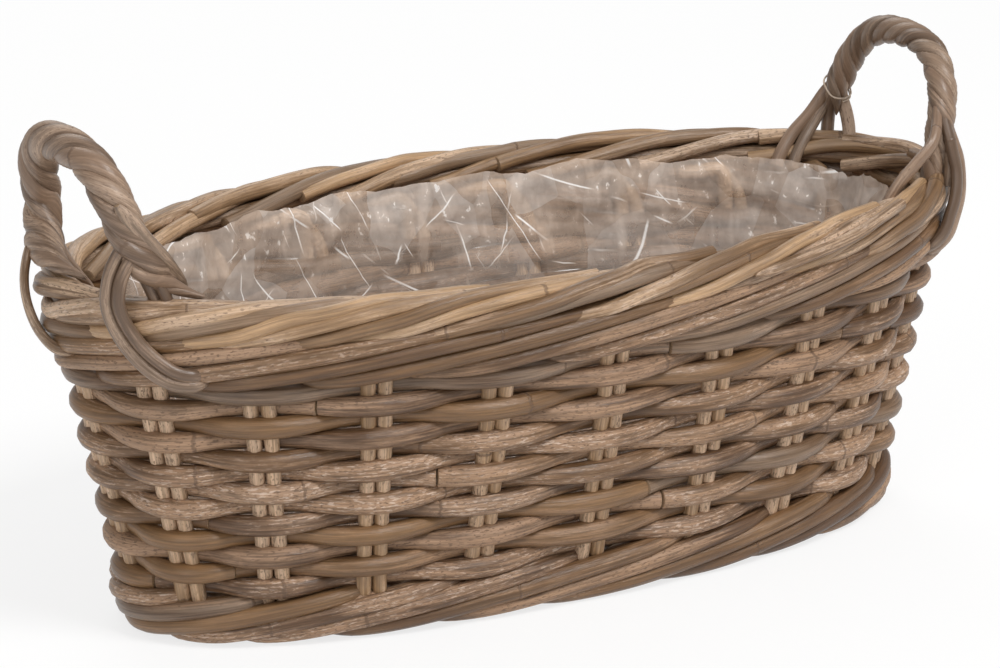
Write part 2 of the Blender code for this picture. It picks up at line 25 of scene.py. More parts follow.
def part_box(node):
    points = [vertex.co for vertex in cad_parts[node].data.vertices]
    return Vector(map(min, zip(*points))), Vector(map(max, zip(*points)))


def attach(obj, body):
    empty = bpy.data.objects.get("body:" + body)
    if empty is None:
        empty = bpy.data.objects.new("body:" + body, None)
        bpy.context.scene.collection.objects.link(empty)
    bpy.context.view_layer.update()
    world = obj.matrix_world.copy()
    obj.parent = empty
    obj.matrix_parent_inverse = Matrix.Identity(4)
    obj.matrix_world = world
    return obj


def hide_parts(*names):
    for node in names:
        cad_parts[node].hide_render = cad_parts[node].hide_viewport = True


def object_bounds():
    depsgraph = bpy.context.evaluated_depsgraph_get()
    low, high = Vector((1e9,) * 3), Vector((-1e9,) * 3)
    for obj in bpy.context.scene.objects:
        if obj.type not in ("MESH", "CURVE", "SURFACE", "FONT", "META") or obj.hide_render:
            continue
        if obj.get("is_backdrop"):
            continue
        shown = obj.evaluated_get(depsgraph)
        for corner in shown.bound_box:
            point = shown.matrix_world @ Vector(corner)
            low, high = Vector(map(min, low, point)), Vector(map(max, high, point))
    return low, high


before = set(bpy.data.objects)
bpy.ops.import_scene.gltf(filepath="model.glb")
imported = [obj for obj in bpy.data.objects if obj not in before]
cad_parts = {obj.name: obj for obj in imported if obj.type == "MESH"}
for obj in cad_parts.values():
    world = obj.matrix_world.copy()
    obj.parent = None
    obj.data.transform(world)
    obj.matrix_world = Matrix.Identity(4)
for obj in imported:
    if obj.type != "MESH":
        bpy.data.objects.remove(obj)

CAD_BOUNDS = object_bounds()
LOG = logging.getLogger("oval_basket")

Triple = tuple[float, float, float]
Colour = Triple
Route = list[Vector]
Axes = tuple[Vector, Vector]


# Shader graphs


class Wire:
    """Output of a shader node, with arithmetic on plain values."""

    def __init__(self, graph: "Graph", socket: bpy.types.NodeSocket) -> None:
        """Keep the graph that the socket belongs to."""
        self.graph = graph
        self.socket = socket

    def __add__(self, other: "Wire | float") -> "Wire":
        """Sum of two values."""
        return self.graph.math("ADD", self, other)

    __radd__ = __add__

    def __sub__(self, other: "Wire | float") -> "Wire":
        """Difference of two values."""
        return self.graph.math("SUBTRACT", self, other)

    def __rsub__(self, other: "Wire | float") -> "Wire":
        """Difference with this value taken away."""
        return self.graph.math("SUBTRACT", other, self)

    def __mul__(self, other: "Wire | float") -> "Wire":
        """Product of two values."""
        return self.graph.math("MULTIPLY", self, other)

    __rmul__ = __mul__

    def __abs__(self) -> "Wire":
        """Size of a value without its sign."""
        return self.graph.math("ABSOLUTE", self)

    def fract(self) -> "Wire":
        """Part of a value after the point."""
        return self.graph.math("FRACT", self)

    def step(self, low: float, high: float) -> "Wire":
        """Smooth step from 0 at low to 1 at high.

        Args:
            low: value at which the step starts.
            high: value at which the step is complete; it may be below low.

        Returns:
            The stepped value, from 0 to 1.
        """
        start, end, result = (low, high, (0.0, 1.0)) if low < high else (high, low, (1.0, 0.0))
        settings = {"interpolation_type": "SMOOTHSTEP"}
        values = {"Value": self, "From Min": start, "From Max": end}
        values |= {"To Min": result[0], "To Max": result[1]}
        return self.graph.node("ShaderNodeMapRange", settings, values)


class Graph:
    """Node tree of one new material, with its Principled shader."""

    def __init__(self, name: str) -> None:
        """Start a material.

        Args:
            name: name of the material.
        """
        self.material = bpy.data.materials.new(name)
        self.material.use_nodes = True
        self.tree = self.material.node_tree
        self.shader = self.tree.nodes["Principled BSDF"]
        self.result = self.tree.nodes["Material Output"]

    def put(self, socket: bpy.types.NodeSocket, value: "Wire | float | Sequence[float]") -> None:
        """Link a wire to a socket, or set the socket's own value.

        Args:
            socket: input socket.
            value: wire, number or tuple.
        """
        if isinstance(value, Wire):
            self.tree.links.new(value.socket, socket)
        else:
            socket.default_value = value

    def node(
        self, kind: str, settings: dict | None = None, values: dict | None = None, output: int = 0
    ) -> Wire:
        """Add one node.

        Args:
            kind: node type.
            settings: the node's own properties, set before its sockets.
            values: input sockets by name or number, with their wires or values.
            output: number of the output socket wanted.

        Returns:
            The wire of that output.
        """
        made = self.tree.nodes.new(kind)
        for name, value in (settings or {}).items():
            setattr(made, name, value)
        for name, value in (values or {}).items():
            self.put(made.inputs[name], value)
        return Wire(self, made.outputs[output])

    def math(self, operation: str, *terms: "Wire | float") -> Wire:
        """Math node on one to three terms."""
        return self.node("ShaderNodeMath", {"operation": operation}, dict(enumerate(terms)))

    def vector(self, operation: str, first: Wire, second: Sequence[float] | Wire) -> Wire:
        """Vector Math node on two vectors."""
        settings = {"operation": operation}
        return self.node("ShaderNodeVectorMath", settings, {0: first, 1: second})

    def scaled(self, colour: Wire, factor: Wire) -> Wire:
        """Colour times a value."""
        settings = {"operation": "SCALE"}
        return self.node("ShaderNodeVectorMath", settings, {"Vector": colour, "Scale": factor})

    def part(self, vector: Wire, axis: int) -> Wire:
        """One of the three numbers of a vector."""
        return self.node("ShaderNodeSeparateXYZ", None, {0: vector}, axis)

    def mix(self, factor: "Wire | float", first: "Wire | Colour", second: "Wire | Colour") -> Wire:
        """Colour between two others.

        Args:
            factor: share of the second colour.
            first: colour at 0.
            second: colour at 1.

        Returns:
            The mixed colour.
        """
        ends = [c if isinstance(c, Wire) else (*c, 1.0) for c in (first, second)]
        values = {0: factor, 6: ends[0], 7: ends[1]}
        return self.node("ShaderNodeMix", {"data_type": "RGBA"}, values, 2)

    def noise(self, place: Wire, scales: float | Triple, detail: float = 2.0,
              roughness: float = 0.5, shift: "Wire | Triple | None" = None) -> Wire:
        """Noise laid over a place.

        Args:
            place: vector of the place.
            scales: waves in each metre, in all directions alike or one for each.
            detail: octaves of finer noise.
            roughness: share that each octave keeps.
            shift: shift of the noise, or None.

        Returns:
            The noise, about 0.5 on average.
        """
        spread = scales if isinstance(scales, tuple) else (scales,) * 3
        laid = self.vector("MULTIPLY", place, spread)
        if shift is not None:
            laid = self.vector("ADD", laid, shift)
        values = {"Vector": laid, "Scale": 1.0, "Detail": detail, "Roughness": roughness}
        return self.node("ShaderNodeTexNoise", None, values)

    def attribute(self, name: str, output: int) -> Wire:
        """Mesh attribute: output 1 is a vector and output 2 a value."""
        return self.node("ShaderNodeAttribute", {"attribute_name": name}, None, output)

    def bump(self, height: Wire, distance: float, strength: float) -> None:
        """Raise the surface by a height map.

        Args:
            height: value from about 0 to 1.
            distance: height of 1, in metres.
            strength: share of the effect.
        """
        values = {"Height": height, "Distance": distance, "Strength": strength}
        self.put(self.shader.inputs["Normal"], self.node("ShaderNodeBump", None, values))


# Finishes


@dataclass(frozen=True)
class Grain:
    """Pattern drawn out along a cane.

    Attributes:
        lengthwise: waves in each metre along the cane.
        around: waves in each metre round it.
        detail: octaves of finer noise.
        roughness: share that each octave keeps.
    """

    lengthwise: float
    around: float
    detail: float = 2.0
    roughness: float = 0.5


@dataclass(frozen=True)
class CaneFinish:
    """Weathered rattan: smooth bark, worn streaks, pale flakes, specks, fibres and node rings.

    Attributes:
        deep: colour of the bark's darker streaks.
        worn: colour where the bark is worn off.
        pith: colour of a cut end.
        wear_from: worn mask below which the bark is sound.
        wear_to: worn mask above which it is worn off.
        grain: strength of streaks and fibres.
        relief: height of the grain.
    """

    name: str
    bark: Colour
    deep: Colour
    worn: Colour
    grey: Colour = (0.214, 0.149, 0.102)
    pith: Colour = (0.34, 0.23, 0.14)
    speck: Colour = (0.105, 0.058, 0.032)
    flake: Colour = (0.66, 0.52, 0.42)
    wear_from: float = 0.46
    wear_to: float = 0.62
    gloss: float = 0.36
    grain: float = 1.0
    flaking: float = 0.62
    relief: float = 0.0009
    patterns: tuple[Grain, ...] = (
        Grain(15.0, 60.0), Grain(42.0, 380.0, 4.0, 0.65), Grain(20.0, 900.0, 4.0, 0.65),
        Grain(75.0, 2100.0, 3.0, 0.6), Grain(420.0, 1300.0), Grain(230.0, 1050.0, 3.0, 0.6),
    )
    pores: float = 2600.0
    tone_shift: Triple = (31.0, 47.0, 23.0)

    def material(self) -> bpy.types.Material:
        """Build the finish from the coordinates that each cane carries.

        Each mask is a weighted sum of patterns and of the cane's own tones, and a smooth step
        cuts it.

        Returns:
            The material.
        """
        graph = Graph(self.name)
        along = graph.attribute("cane_map", 1)
        tone = graph.attribute("cane_tone", 1)
        tones = [graph.part(tone, axis) for axis in range(3)]
        shift = graph.vector("MULTIPLY", tone, self.tone_shift)
        broad, patch, streak, fibre, dots, flecks = [
            graph.noise(along, (p.lengthwise, p.around, p.around), p.detail, p.roughness, shift)
            for p in self.patterns
        ]

        wear = broad * 0.46 + patch * 0.34 + streak * 0.20 + (tones[0] - 0.5) * 0.20
        wear = wear.step(self.wear_from, self.wear_to)
        shade = (tones[1] * 0.75 + (broad - 0.5) * 1.2 + (patch - 0.5) * 0.7).step(0.0, 0.9)
        colour = graph.mix(shade, self.deep, self.bark)
        dull = (tones[2] * 0.7 + (broad - 0.5) * 0.9 + (streak - 0.5) * 0.4).step(0.42, 0.72)
        colour = graph.mix(dull * 0.75, colour, self.grey)
        colour = graph.mix(wear * 0.80, colour, self.worn)
        streaked = (streak.step(0.28, 0.72) - 0.5) * 0.60 + (fibre - 0.5) * 0.32
        colour = graph.scaled(colour, 1.0 + streaked * self.grain)
        worn_edge = wear * (1 - wear) * 4.0
        speckled = dots.step(0.56, 0.64) * (wear * 0.62 + 0.06)
        speckled = speckled + worn_edge * patch.step(0.52, 0.64) * 0.30
        colour = graph.mix(speckled, colour, self.speck)
        peeling = (tones[1] * 5.0).fract().step(0.62, 0.42)
        bright = flecks.step(0.55, 0.62) * wear * (peeling * 0.92 + 0.08) * self.flaking
        colour = graph.mix(bright, colour, self.flake)
        turn = graph.attribute("cane_turn", 2)
        ring = abs((turn + (patch - 0.5) * 0.012).fract() - 0.5).step(0.0040, 0.0010)
        colour = graph.mix(ring * 0.60, colour, self.speck)
        cut = graph.attribute("cane_cut", 2)
        pores = graph.noise(along, self.pores, 1.0)
        end = graph.mix(pores.step(0.50, 0.62) * 0.6, self.pith, self.speck)
        colour = graph.mix(cut, colour, end)

        shader = graph.shader.inputs
        graph.put(shader["Base Color"], colour)
        graph.put(shader["Roughness"], self.gloss + wear * 0.16 + (streak - 0.5) * 0.35)
        shader["Specular IOR Level"].default_value = 0.5
        height = streak * 0.50 + fibre * 0.20 + patch * 0.30 - dots.step(0.58, 0.68) * wear * 0.2
        graph.bump(height - ring * 0.4, self.relief, 0.8 * self.grain)
        return graph.material


@dataclass(frozen=True)
class FilmFinish:
    """Clear crumpled film: faint flat facets, haze at the edge, and crease lines and crinkle specks
    painted white as highlights.

    Attributes:
        veil: opacity of plain film; facet, fold and edge_haze are what those add to it.
        edge_band: heights between which the edge's haze sets in.
        glint_creases: slant in degrees, lines in each metre and seed of each set of crease lines
            painted as highlights.
    """

    name: str = "liner_film"
    veil: float = 0.14
    facet: float = 0.25
    fold: float = 0.13
    edge_haze: float = 0.16
    edge_band: tuple[float, float] = (0.118, 0.160)
    least: float = 0.10
    most: float = 0.88
    relief: float = 0.0045
    glint_creases: tuple[Triple, ...] = (
        (38.0, 17.0, 3.1), (-34.0, 19.0, 7.7), (52.0, 14.0, 12.3), (4.0, 21.0, 17.9),
        (66.0, 23.0, 21.1), (-58.0, 27.0, 26.5), (20.0, 31.0, 33.7),
    )

    def _glint_lines(self, graph: Graph, place: Wire, slant: float, count: float, seed: float) -> Wire:
        """Straight crease lines in one direction, painted white as highlights, each fading out
        after a few centimetres.

        Args:
            graph: node graph.
            place: place on the film.
            slant: direction of the lines' normal, in degrees above the horizontal.
            count: lines in each metre across them.
            seed: shift of the noise that picks where they show.

        Returns:
            1 on a line and 0 away from it.
        """
        turn = math.radians(slant)
        normal = (math.cos(turn), math.cos(turn) * 0.9, math.sin(turn))
        across = graph.node("ShaderNodeVectorMath", {"operation": "DOT_PRODUCT"},
                            {0: place, 1: normal}, 1)
        shown = graph.noise(place, 38.0, 1.0, shift=(seed, seed * 2, seed * 3))
        bend = graph.noise(place, 11.0, 1.0)
        line = abs((across * count + bend * 0.7 + seed).fract() - 0.5)
        return line.step(0.014, 0.003) * shown.step(0.52, 0.64)

    def _facets(self, graph: Graph, place: Wire, size: float, seed: float) -> Wire:
        """Flat facets, each with its own share of haze.

        Args:
            graph: node graph.
            place: place on the film.
            size: facets in each metre.
            seed: shift of the pattern.

        Returns:
            Haze from 0 to 1, even over each facet.
        """
        bent = graph.noise(place, 22.0)
        spread = graph.vector("MULTIPLY", place, (size, size, size * 0.8))
        moved = graph.scaled(graph.vector("ADD", place, (seed,) * 3), bent * 0.35)
        values = {"Vector": graph.vector("ADD", spread, moved), "Scale": 1.0}
        return graph.part(graph.node("ShaderNodeTexVoronoi", None, values, 1), 0)

    def material(self) -> bpy.types.Material:
        """Build the finish.

        Returns:
            The material.
        """
        graph = Graph(self.name)
        place = graph.attribute("film_place", 1)
        cloud = graph.noise(place, (26.0, 26.0, 34.0), 3.0)
        crinkle = graph.noise(place, (170.0, 170.0, 120.0), 3.0, 0.6)
        folds = graph.noise(place, (75.0, 75.0, 13.0), 2.0, 0.6)
        large = self._facets(graph, place, 38.0, 3.0)
        small = self._facets(graph, place, 95.0, 8.0)
        # Painted highlights: crease lines and crinkle glints turn the colour near white and make
        # the film more opaque.
        crease_glint: Wire | float = 0.0
        for slant, count, seed in self.glint_creases:
            crease_glint = graph.math("MAXIMUM", crease_glint, self._glint_lines(graph, place, slant, count, seed))
        edge = (graph.part(place, 2) + (cloud - 0.5) * 0.05).step(*self.edge_band)
        # Painted glints: crinkle specks, mostly near the edge, drawn white in the colour.
        glint = crinkle.step(0.64, 0.71) * (edge * 0.6 + large * 0.4)
        crease_glint = graph.math("MAXIMUM", crease_glint, glint * 0.9)
        shader = graph.shader.inputs
        pale = graph.mix(large, (1.0, 0.80, 0.65), (1.0, 0.88, 0.79))
        # Painted highlight colour: near white on the crease lines and glints.
        graph.put(shader["Base Color"], graph.mix(crease_glint, pale, (1.0, 0.97, 0.94)))
        graph.put(shader["Roughness"], 0.12 + crease_glint * 0.2 + small * 0.10)
        shader["Specular IOR Level"].default_value = 0.55
        haze = large * 0.55 + small * 0.20 + (cloud - 0.5) * 0.9 + (crinkle - 0.5) * 0.5
        alpha = self.veil + haze * self.facet + edge * (0.5 + crinkle) * self.edge_haze
        alpha = alpha + folds.step(0.54, 0.70) * self.fold
        alpha = graph.math("MAXIMUM", alpha, self.least) + crease_glint * 0.60
        graph.put(shader["Alpha"], graph.math("MINIMUM", alpha, self.most))
        height = cloud * 0.5 + large * 0.25 + small * 0.10 + crinkle * 0.15
        graph.bump(height, self.relief, 0.9)
        return graph.material


@dataclass(frozen=True)
class FloorFinish:
    """Pale floor that the camera sees as white, apart from the soft shadow on it.

    Attributes:
        lift: share of plain white that the camera and glossy reflections see.
    """

    name: str = "pale_floor"
    lift: float = 0.76

    def material(self) -> bpy.types.Material:
        """Build the finish.

        Returns:
            The material.
        """
        graph = Graph(self.name)
        graph.shader.inputs["Base Color"].default_value = (0.97, 0.97, 0.965, 1.0)
        graph.shader.inputs["Roughness"].default_value = 0.9
        white = graph.node("ShaderNodeEmission", None, {"Color": (1.0, 1.0, 1.0, 1.0)})
        rays = [graph.node("ShaderNodeLightPath", None, None, i) for i in (0, 3)]
        seen = graph.math("MAXIMUM", *rays)
        shaders = {0: seen * self.lift, 1: Wire(graph, graph.shader.outputs[0]), 2: white}
        graph.put(graph.result.inputs[0], graph.node("ShaderNodeMixShader", None, shaders))
        return graph.material


class Cane(Enum):
    """Kinds of cane on the basket, each with its finish."""

    WEAVER = CaneFinish("weaver_cane", (0.212, 0.115, 0.049), (0.102, 0.051, 0.023),
                        (0.362, 0.224, 0.136))
    BORDER = CaneFinish("border_cane", (0.475, 0.300, 0.162), (0.175, 0.098, 0.047),
                        (0.590, 0.420, 0.292), wear_from=0.49, wear_to=0.66)
    BASE = CaneFinish("base_cane", (0.26, 0.165, 0.10), (0.16, 0.10, 0.06), (0.36, 0.26, 0.18))
    ROPE = CaneFinish("rope_cane", (0.258, 0.167, 0.110), (0.118, 0.073, 0.046),
                      (0.450, 0.320, 0.228), wear_from=0.46, wear_to=0.64, grain=0.5,
                      flaking=0.25)
    STRING = CaneFinish("string", (0.60, 0.48, 0.36), (0.46, 0.36, 0.27), (0.62, 0.52, 0.42))

    @cached_property
    def material(self) -> bpy.types.Material:
        """Material of this kind of cane, built once."""
        return self.value.material()


# Shape of the wall


def blend(start: float, end: float, share: float) -> float:
    """Value a share of the way from start to end."""
    return start + (end - start) * share


def eased(share: float) -> float:
    """Smooth step of a share from 0 to 1."""
    share = min(max(share, 0.0), 1.0)
    return share * share * (3 - 2 * share)


def noise_at(x: float, y: float, z: float, shift: Vector = Vector()) -> float:
    """Smooth noise from about -1 to 1 at a point."""
    return perlin.noise(Vector((x, y, z)) + shift)


def lengths_along(points: Route) -> list[float]:
    """Length of a line up to each of its points."""
    return [0.0, *accumulate((b - a).length for a, b in zip(points, points[1:]))]


def heading_at(route: Route, index: int) -> Vector:
    """Direction of a route at one of its points."""
    return (route[min(index + 1, len(route) - 1)] - route[max(index - 1, 0)]).normalized()


def level_with(side: Vector, heading: Vector) -> Vector:
    """Direction nearest to a side that is square to a heading."""
    return (side - heading * side.dot(heading)).normalized()


def along_table(table: Sequence[tuple[float, float]], at: float) -> float:
    """Value read from a table of positions and values.

    Args:
        table: pairs of position and value, with rising positions.
        at: position.

    Returns:
        The value there.
    """
    if at <= table[0][0]:
        return table[0][1]
    for (low, start), (high, end) in zip(table, table[1:]):
        if at <= high:
            return blend(start, end, (at - low) / (high - low))
    return table[-1][1]


@dataclass(frozen=True)
class Wall:
    """The woven wall: two ovals, the crowding of the stakes and the heights of the rods."""

    foot_half_length: float = 0.2157
    foot_half_width: float = 0.0818
    rim_half_length: float = 0.2534
    rim_half_width: float = 0.1280
    rim_height: float = 0.1823
    foot_power: float = 2.3
    rim_power: float = 2.0
    pair_count: int = 20
    crowding: float = 0.30
    row_count: int = 14
    foot_count: int = 2
    upper_count: int = 2
    stake_radius: float = 0.0030
    rod_half_width: float = 0.00415
    row_clearance: float = 0.00034
    seat_clearance: float = 0.00035
    border_half_height: float = 0.0125
    border_rod_radius: float = 0.0041
    samples: int = 1440
    far_pairs: float = 6.0

    @property
    def weave_reach(self) -> float:
        """Reach of a rod that lies against the stakes."""
        return self.stake_radius + self.seat_clearance + self.rod_half_width

    @property
    def half(self) -> float:
        """Half the thickness of the wall."""
        return self.weave_reach + self.rod_half_width

    @property
    def wale_top(self) -> float:
        """Height of the top of the upper winding rods."""
        return self.rim_height - 2 * self.border_half_height - self.seat_clearance

    @property
    def pitch(self) -> float:
        """Height from one row to the next."""
        rods = self.foot_count + self.row_count + self.upper_count
        return (self.wale_top + self.row_clearance) / rods

    @property
    def rod_half_height(self) -> float:
        """Half the height of a rod."""
        return (self.pitch - self.row_clearance) / 2

    def row_height(self, row: int) -> float:
        """Height of a row's middle, counted from the lowest row as 0."""
        return self.rod_half_height + (self.foot_count + row) * self.pitch

    @property
    def roll_height(self) -> float:
        """Height of the middle of the rolled border."""
        return self.rim_height - self.border_half_height

    def frame_at(self, angle: float, height: float) -> tuple[Vector, Vector]:
        """Point on the line of the stakes and the wall's outward direction.

        Args:
            angle: parameter of the oval.
            height: height above the floor.

        Returns:
            The point and the level outward direction.
        """
        share = height / self.rim_height
        half_length = blend(self.foot_half_length, self.rim_half_length, share) - self.half
        half_width = blend(self.foot_half_width, self.rim_half_width, share) - self.half
        power = blend(self.foot_power, self.rim_power, min(share, 1.0))
        cosine, sine = math.cos(angle), math.sin(angle)
        across = math.copysign(abs(cosine) ** (2 / power), cosine)
        up = math.copysign(abs(sine) ** (2 / power), sine)
        slope_x = math.copysign(abs(across) ** (power - 1), across) / half_length
        slope_y = math.copysign(abs(up) ** (power - 1), up) / half_width
        point = Vector((half_length * across, half_width * up, height))
        return point, Vector((slope_x, slope_y, 0)).normalized()

    @cached_property
    def lengths(self) -> list[float]:
        """Arc lengths along the line of the stakes at mid height.

        Returns:
            The length up to each sample, with 0 first.
        """
        ring = [
            self.frame_at(-math.pi / 2 + 2 * math.pi * i / self.samples, self.rim_height / 2)[0]
            for i in range(self.samples + 1)
        ]
        return lengths_along(ring)

    def angle(self, place: float) -> float:
        """Oval parameter of a place.

        Args:
            place: place counted in pairs; it may go past a full turn.

        Returns:
            The parameter, which grows by a full turn with each round.
        """
        turns = math.floor(place / self.pair_count)
        local = place - turns * self.pair_count
        crowded = local + self.crowding * math.sin(4 * math.pi * local / self.pair_count)
        wanted = min(max(crowded / self.pair_count, 0.0), 1.0) * self.lengths[-1]
        index = min(max(bisect.bisect_right(self.lengths, wanted), 1), self.samples)
        before = self.lengths[index - 1]
        part = (wanted - before) / (self.lengths[index] - before)
        return -math.pi / 2 + 2 * math.pi * (turns + (index - 1 + part) / self.samples)

    def place(self, angle: float) -> float:
        """Place of an oval parameter.

        Args:
            angle: oval parameter.

        Returns:
            The place counted in pairs, within one turn.
        """
        low, high = 0.0, float(self.pair_count)
        target = (angle + math.pi / 2) % (2 * math.pi)
        for _ in range(40):
            middle = (low + high) / 2
            if self.angle(middle) + math.pi / 2 < target:
                low = middle
            else:
                high = middle
        return low

    def point(self, place: float, reach: float, height: float) -> Vector:
        """Point at a place, a reach and a height."""
        middle, outward = self.frame_at(self.angle(place), height)
        return middle + outward * reach

    def outward(self, place: float, height: float) -> Vector:
        """Outward direction at a place and a height."""
        return self.frame_at(self.angle(place), height)[1]

    def far(self, place: float) -> float:
        """Share from 0 to 1 by which a place belongs to the back of the wall."""
        return eased(self.far_pairs - abs(place % self.pair_count - self.pair_count / 2))

    def places_per_metre(self, place: float, height: float) -> float:
        """Pairs in each metre along the wall near a place."""
        ends = [self.point(place + side, 0, height) for side in (-0.25, 0.25)]
        return 0.5 / (ends[1] - ends[0]).length


WALL = Wall()


# Canes


def smooth_route(knots: Route, step: float) -> Route:
    """Evenly spaced points on a Catmull-Rom curve through the knots.

    Args:
        knots: points that the curve passes through.
        step: distance from one point to the next.

    Returns:
        The points, with both ends kept.
    """
    padded = [2 * knots[0] - knots[1], *knots, 2 * knots[-1] - knots[-2]]
    dense = []
    for a, b, c, d in zip(padded, padded[1:], padded[2:], padded[3:]):
        count = max(4, round((c - b).length / step * 4))
        for i in range(count):
            t = i / count
            dense.append(
                (2 * b + (c - a) * t + (2 * a - 5 * b + 4 * c - d) * t * t
                 + (3 * b - a - 3 * c + d) * t ** 3) / 2
            )
    dense.append(knots[-1].copy())
    return even_route(dense, step)


def even_route(points: Route, step: float) -> Route:
    """Points spaced evenly on a line of many short parts.

    Args:
        points: the line.
        step: distance wanted from one point to the next.

    Returns:
        The spaced points.
    """
    lengths = lengths_along(points)
    count = max(2, round(lengths[-1] / step))
    spaced = []
    index = 1
    for i in range(count + 1):
        wanted = lengths[-1] * i / count
        while index < len(lengths) - 1 and lengths[index] < wanted:
            index += 1
        part = (wanted - lengths[index - 1]) / max(lengths[index] - lengths[index - 1], 1e-9)
        spaced.append(points[index - 1].lerp(points[index], min(max(part, 0.0), 1.0)))
    return spaced


@dataclass
class Laid:
    """How one cane is laid.

    Attributes:
        radius: half width across the cane, one for the whole cane or one for each point.
        flatness: thickness as a share of the width.
        facing: outward direction for each point of the route, for a flat strand.
        start_taper: length over which the start comes to a point, or 0 for a cut end.
        end_taper: the same at the far end.
        lumps: unevenness as a share of the radius.
        tone: shade numbers from 0 to 1, one set for each point, or None for random ones.
    """

    radius: float | Sequence[float]
    flatness: float = 1.0
    facing: Sequence[Vector] | None = None
    start_taper: float = 0.0
    end_taper: float = 0.0
    lumps: float = 0.06
    tone: Sequence[Colour] | None = None


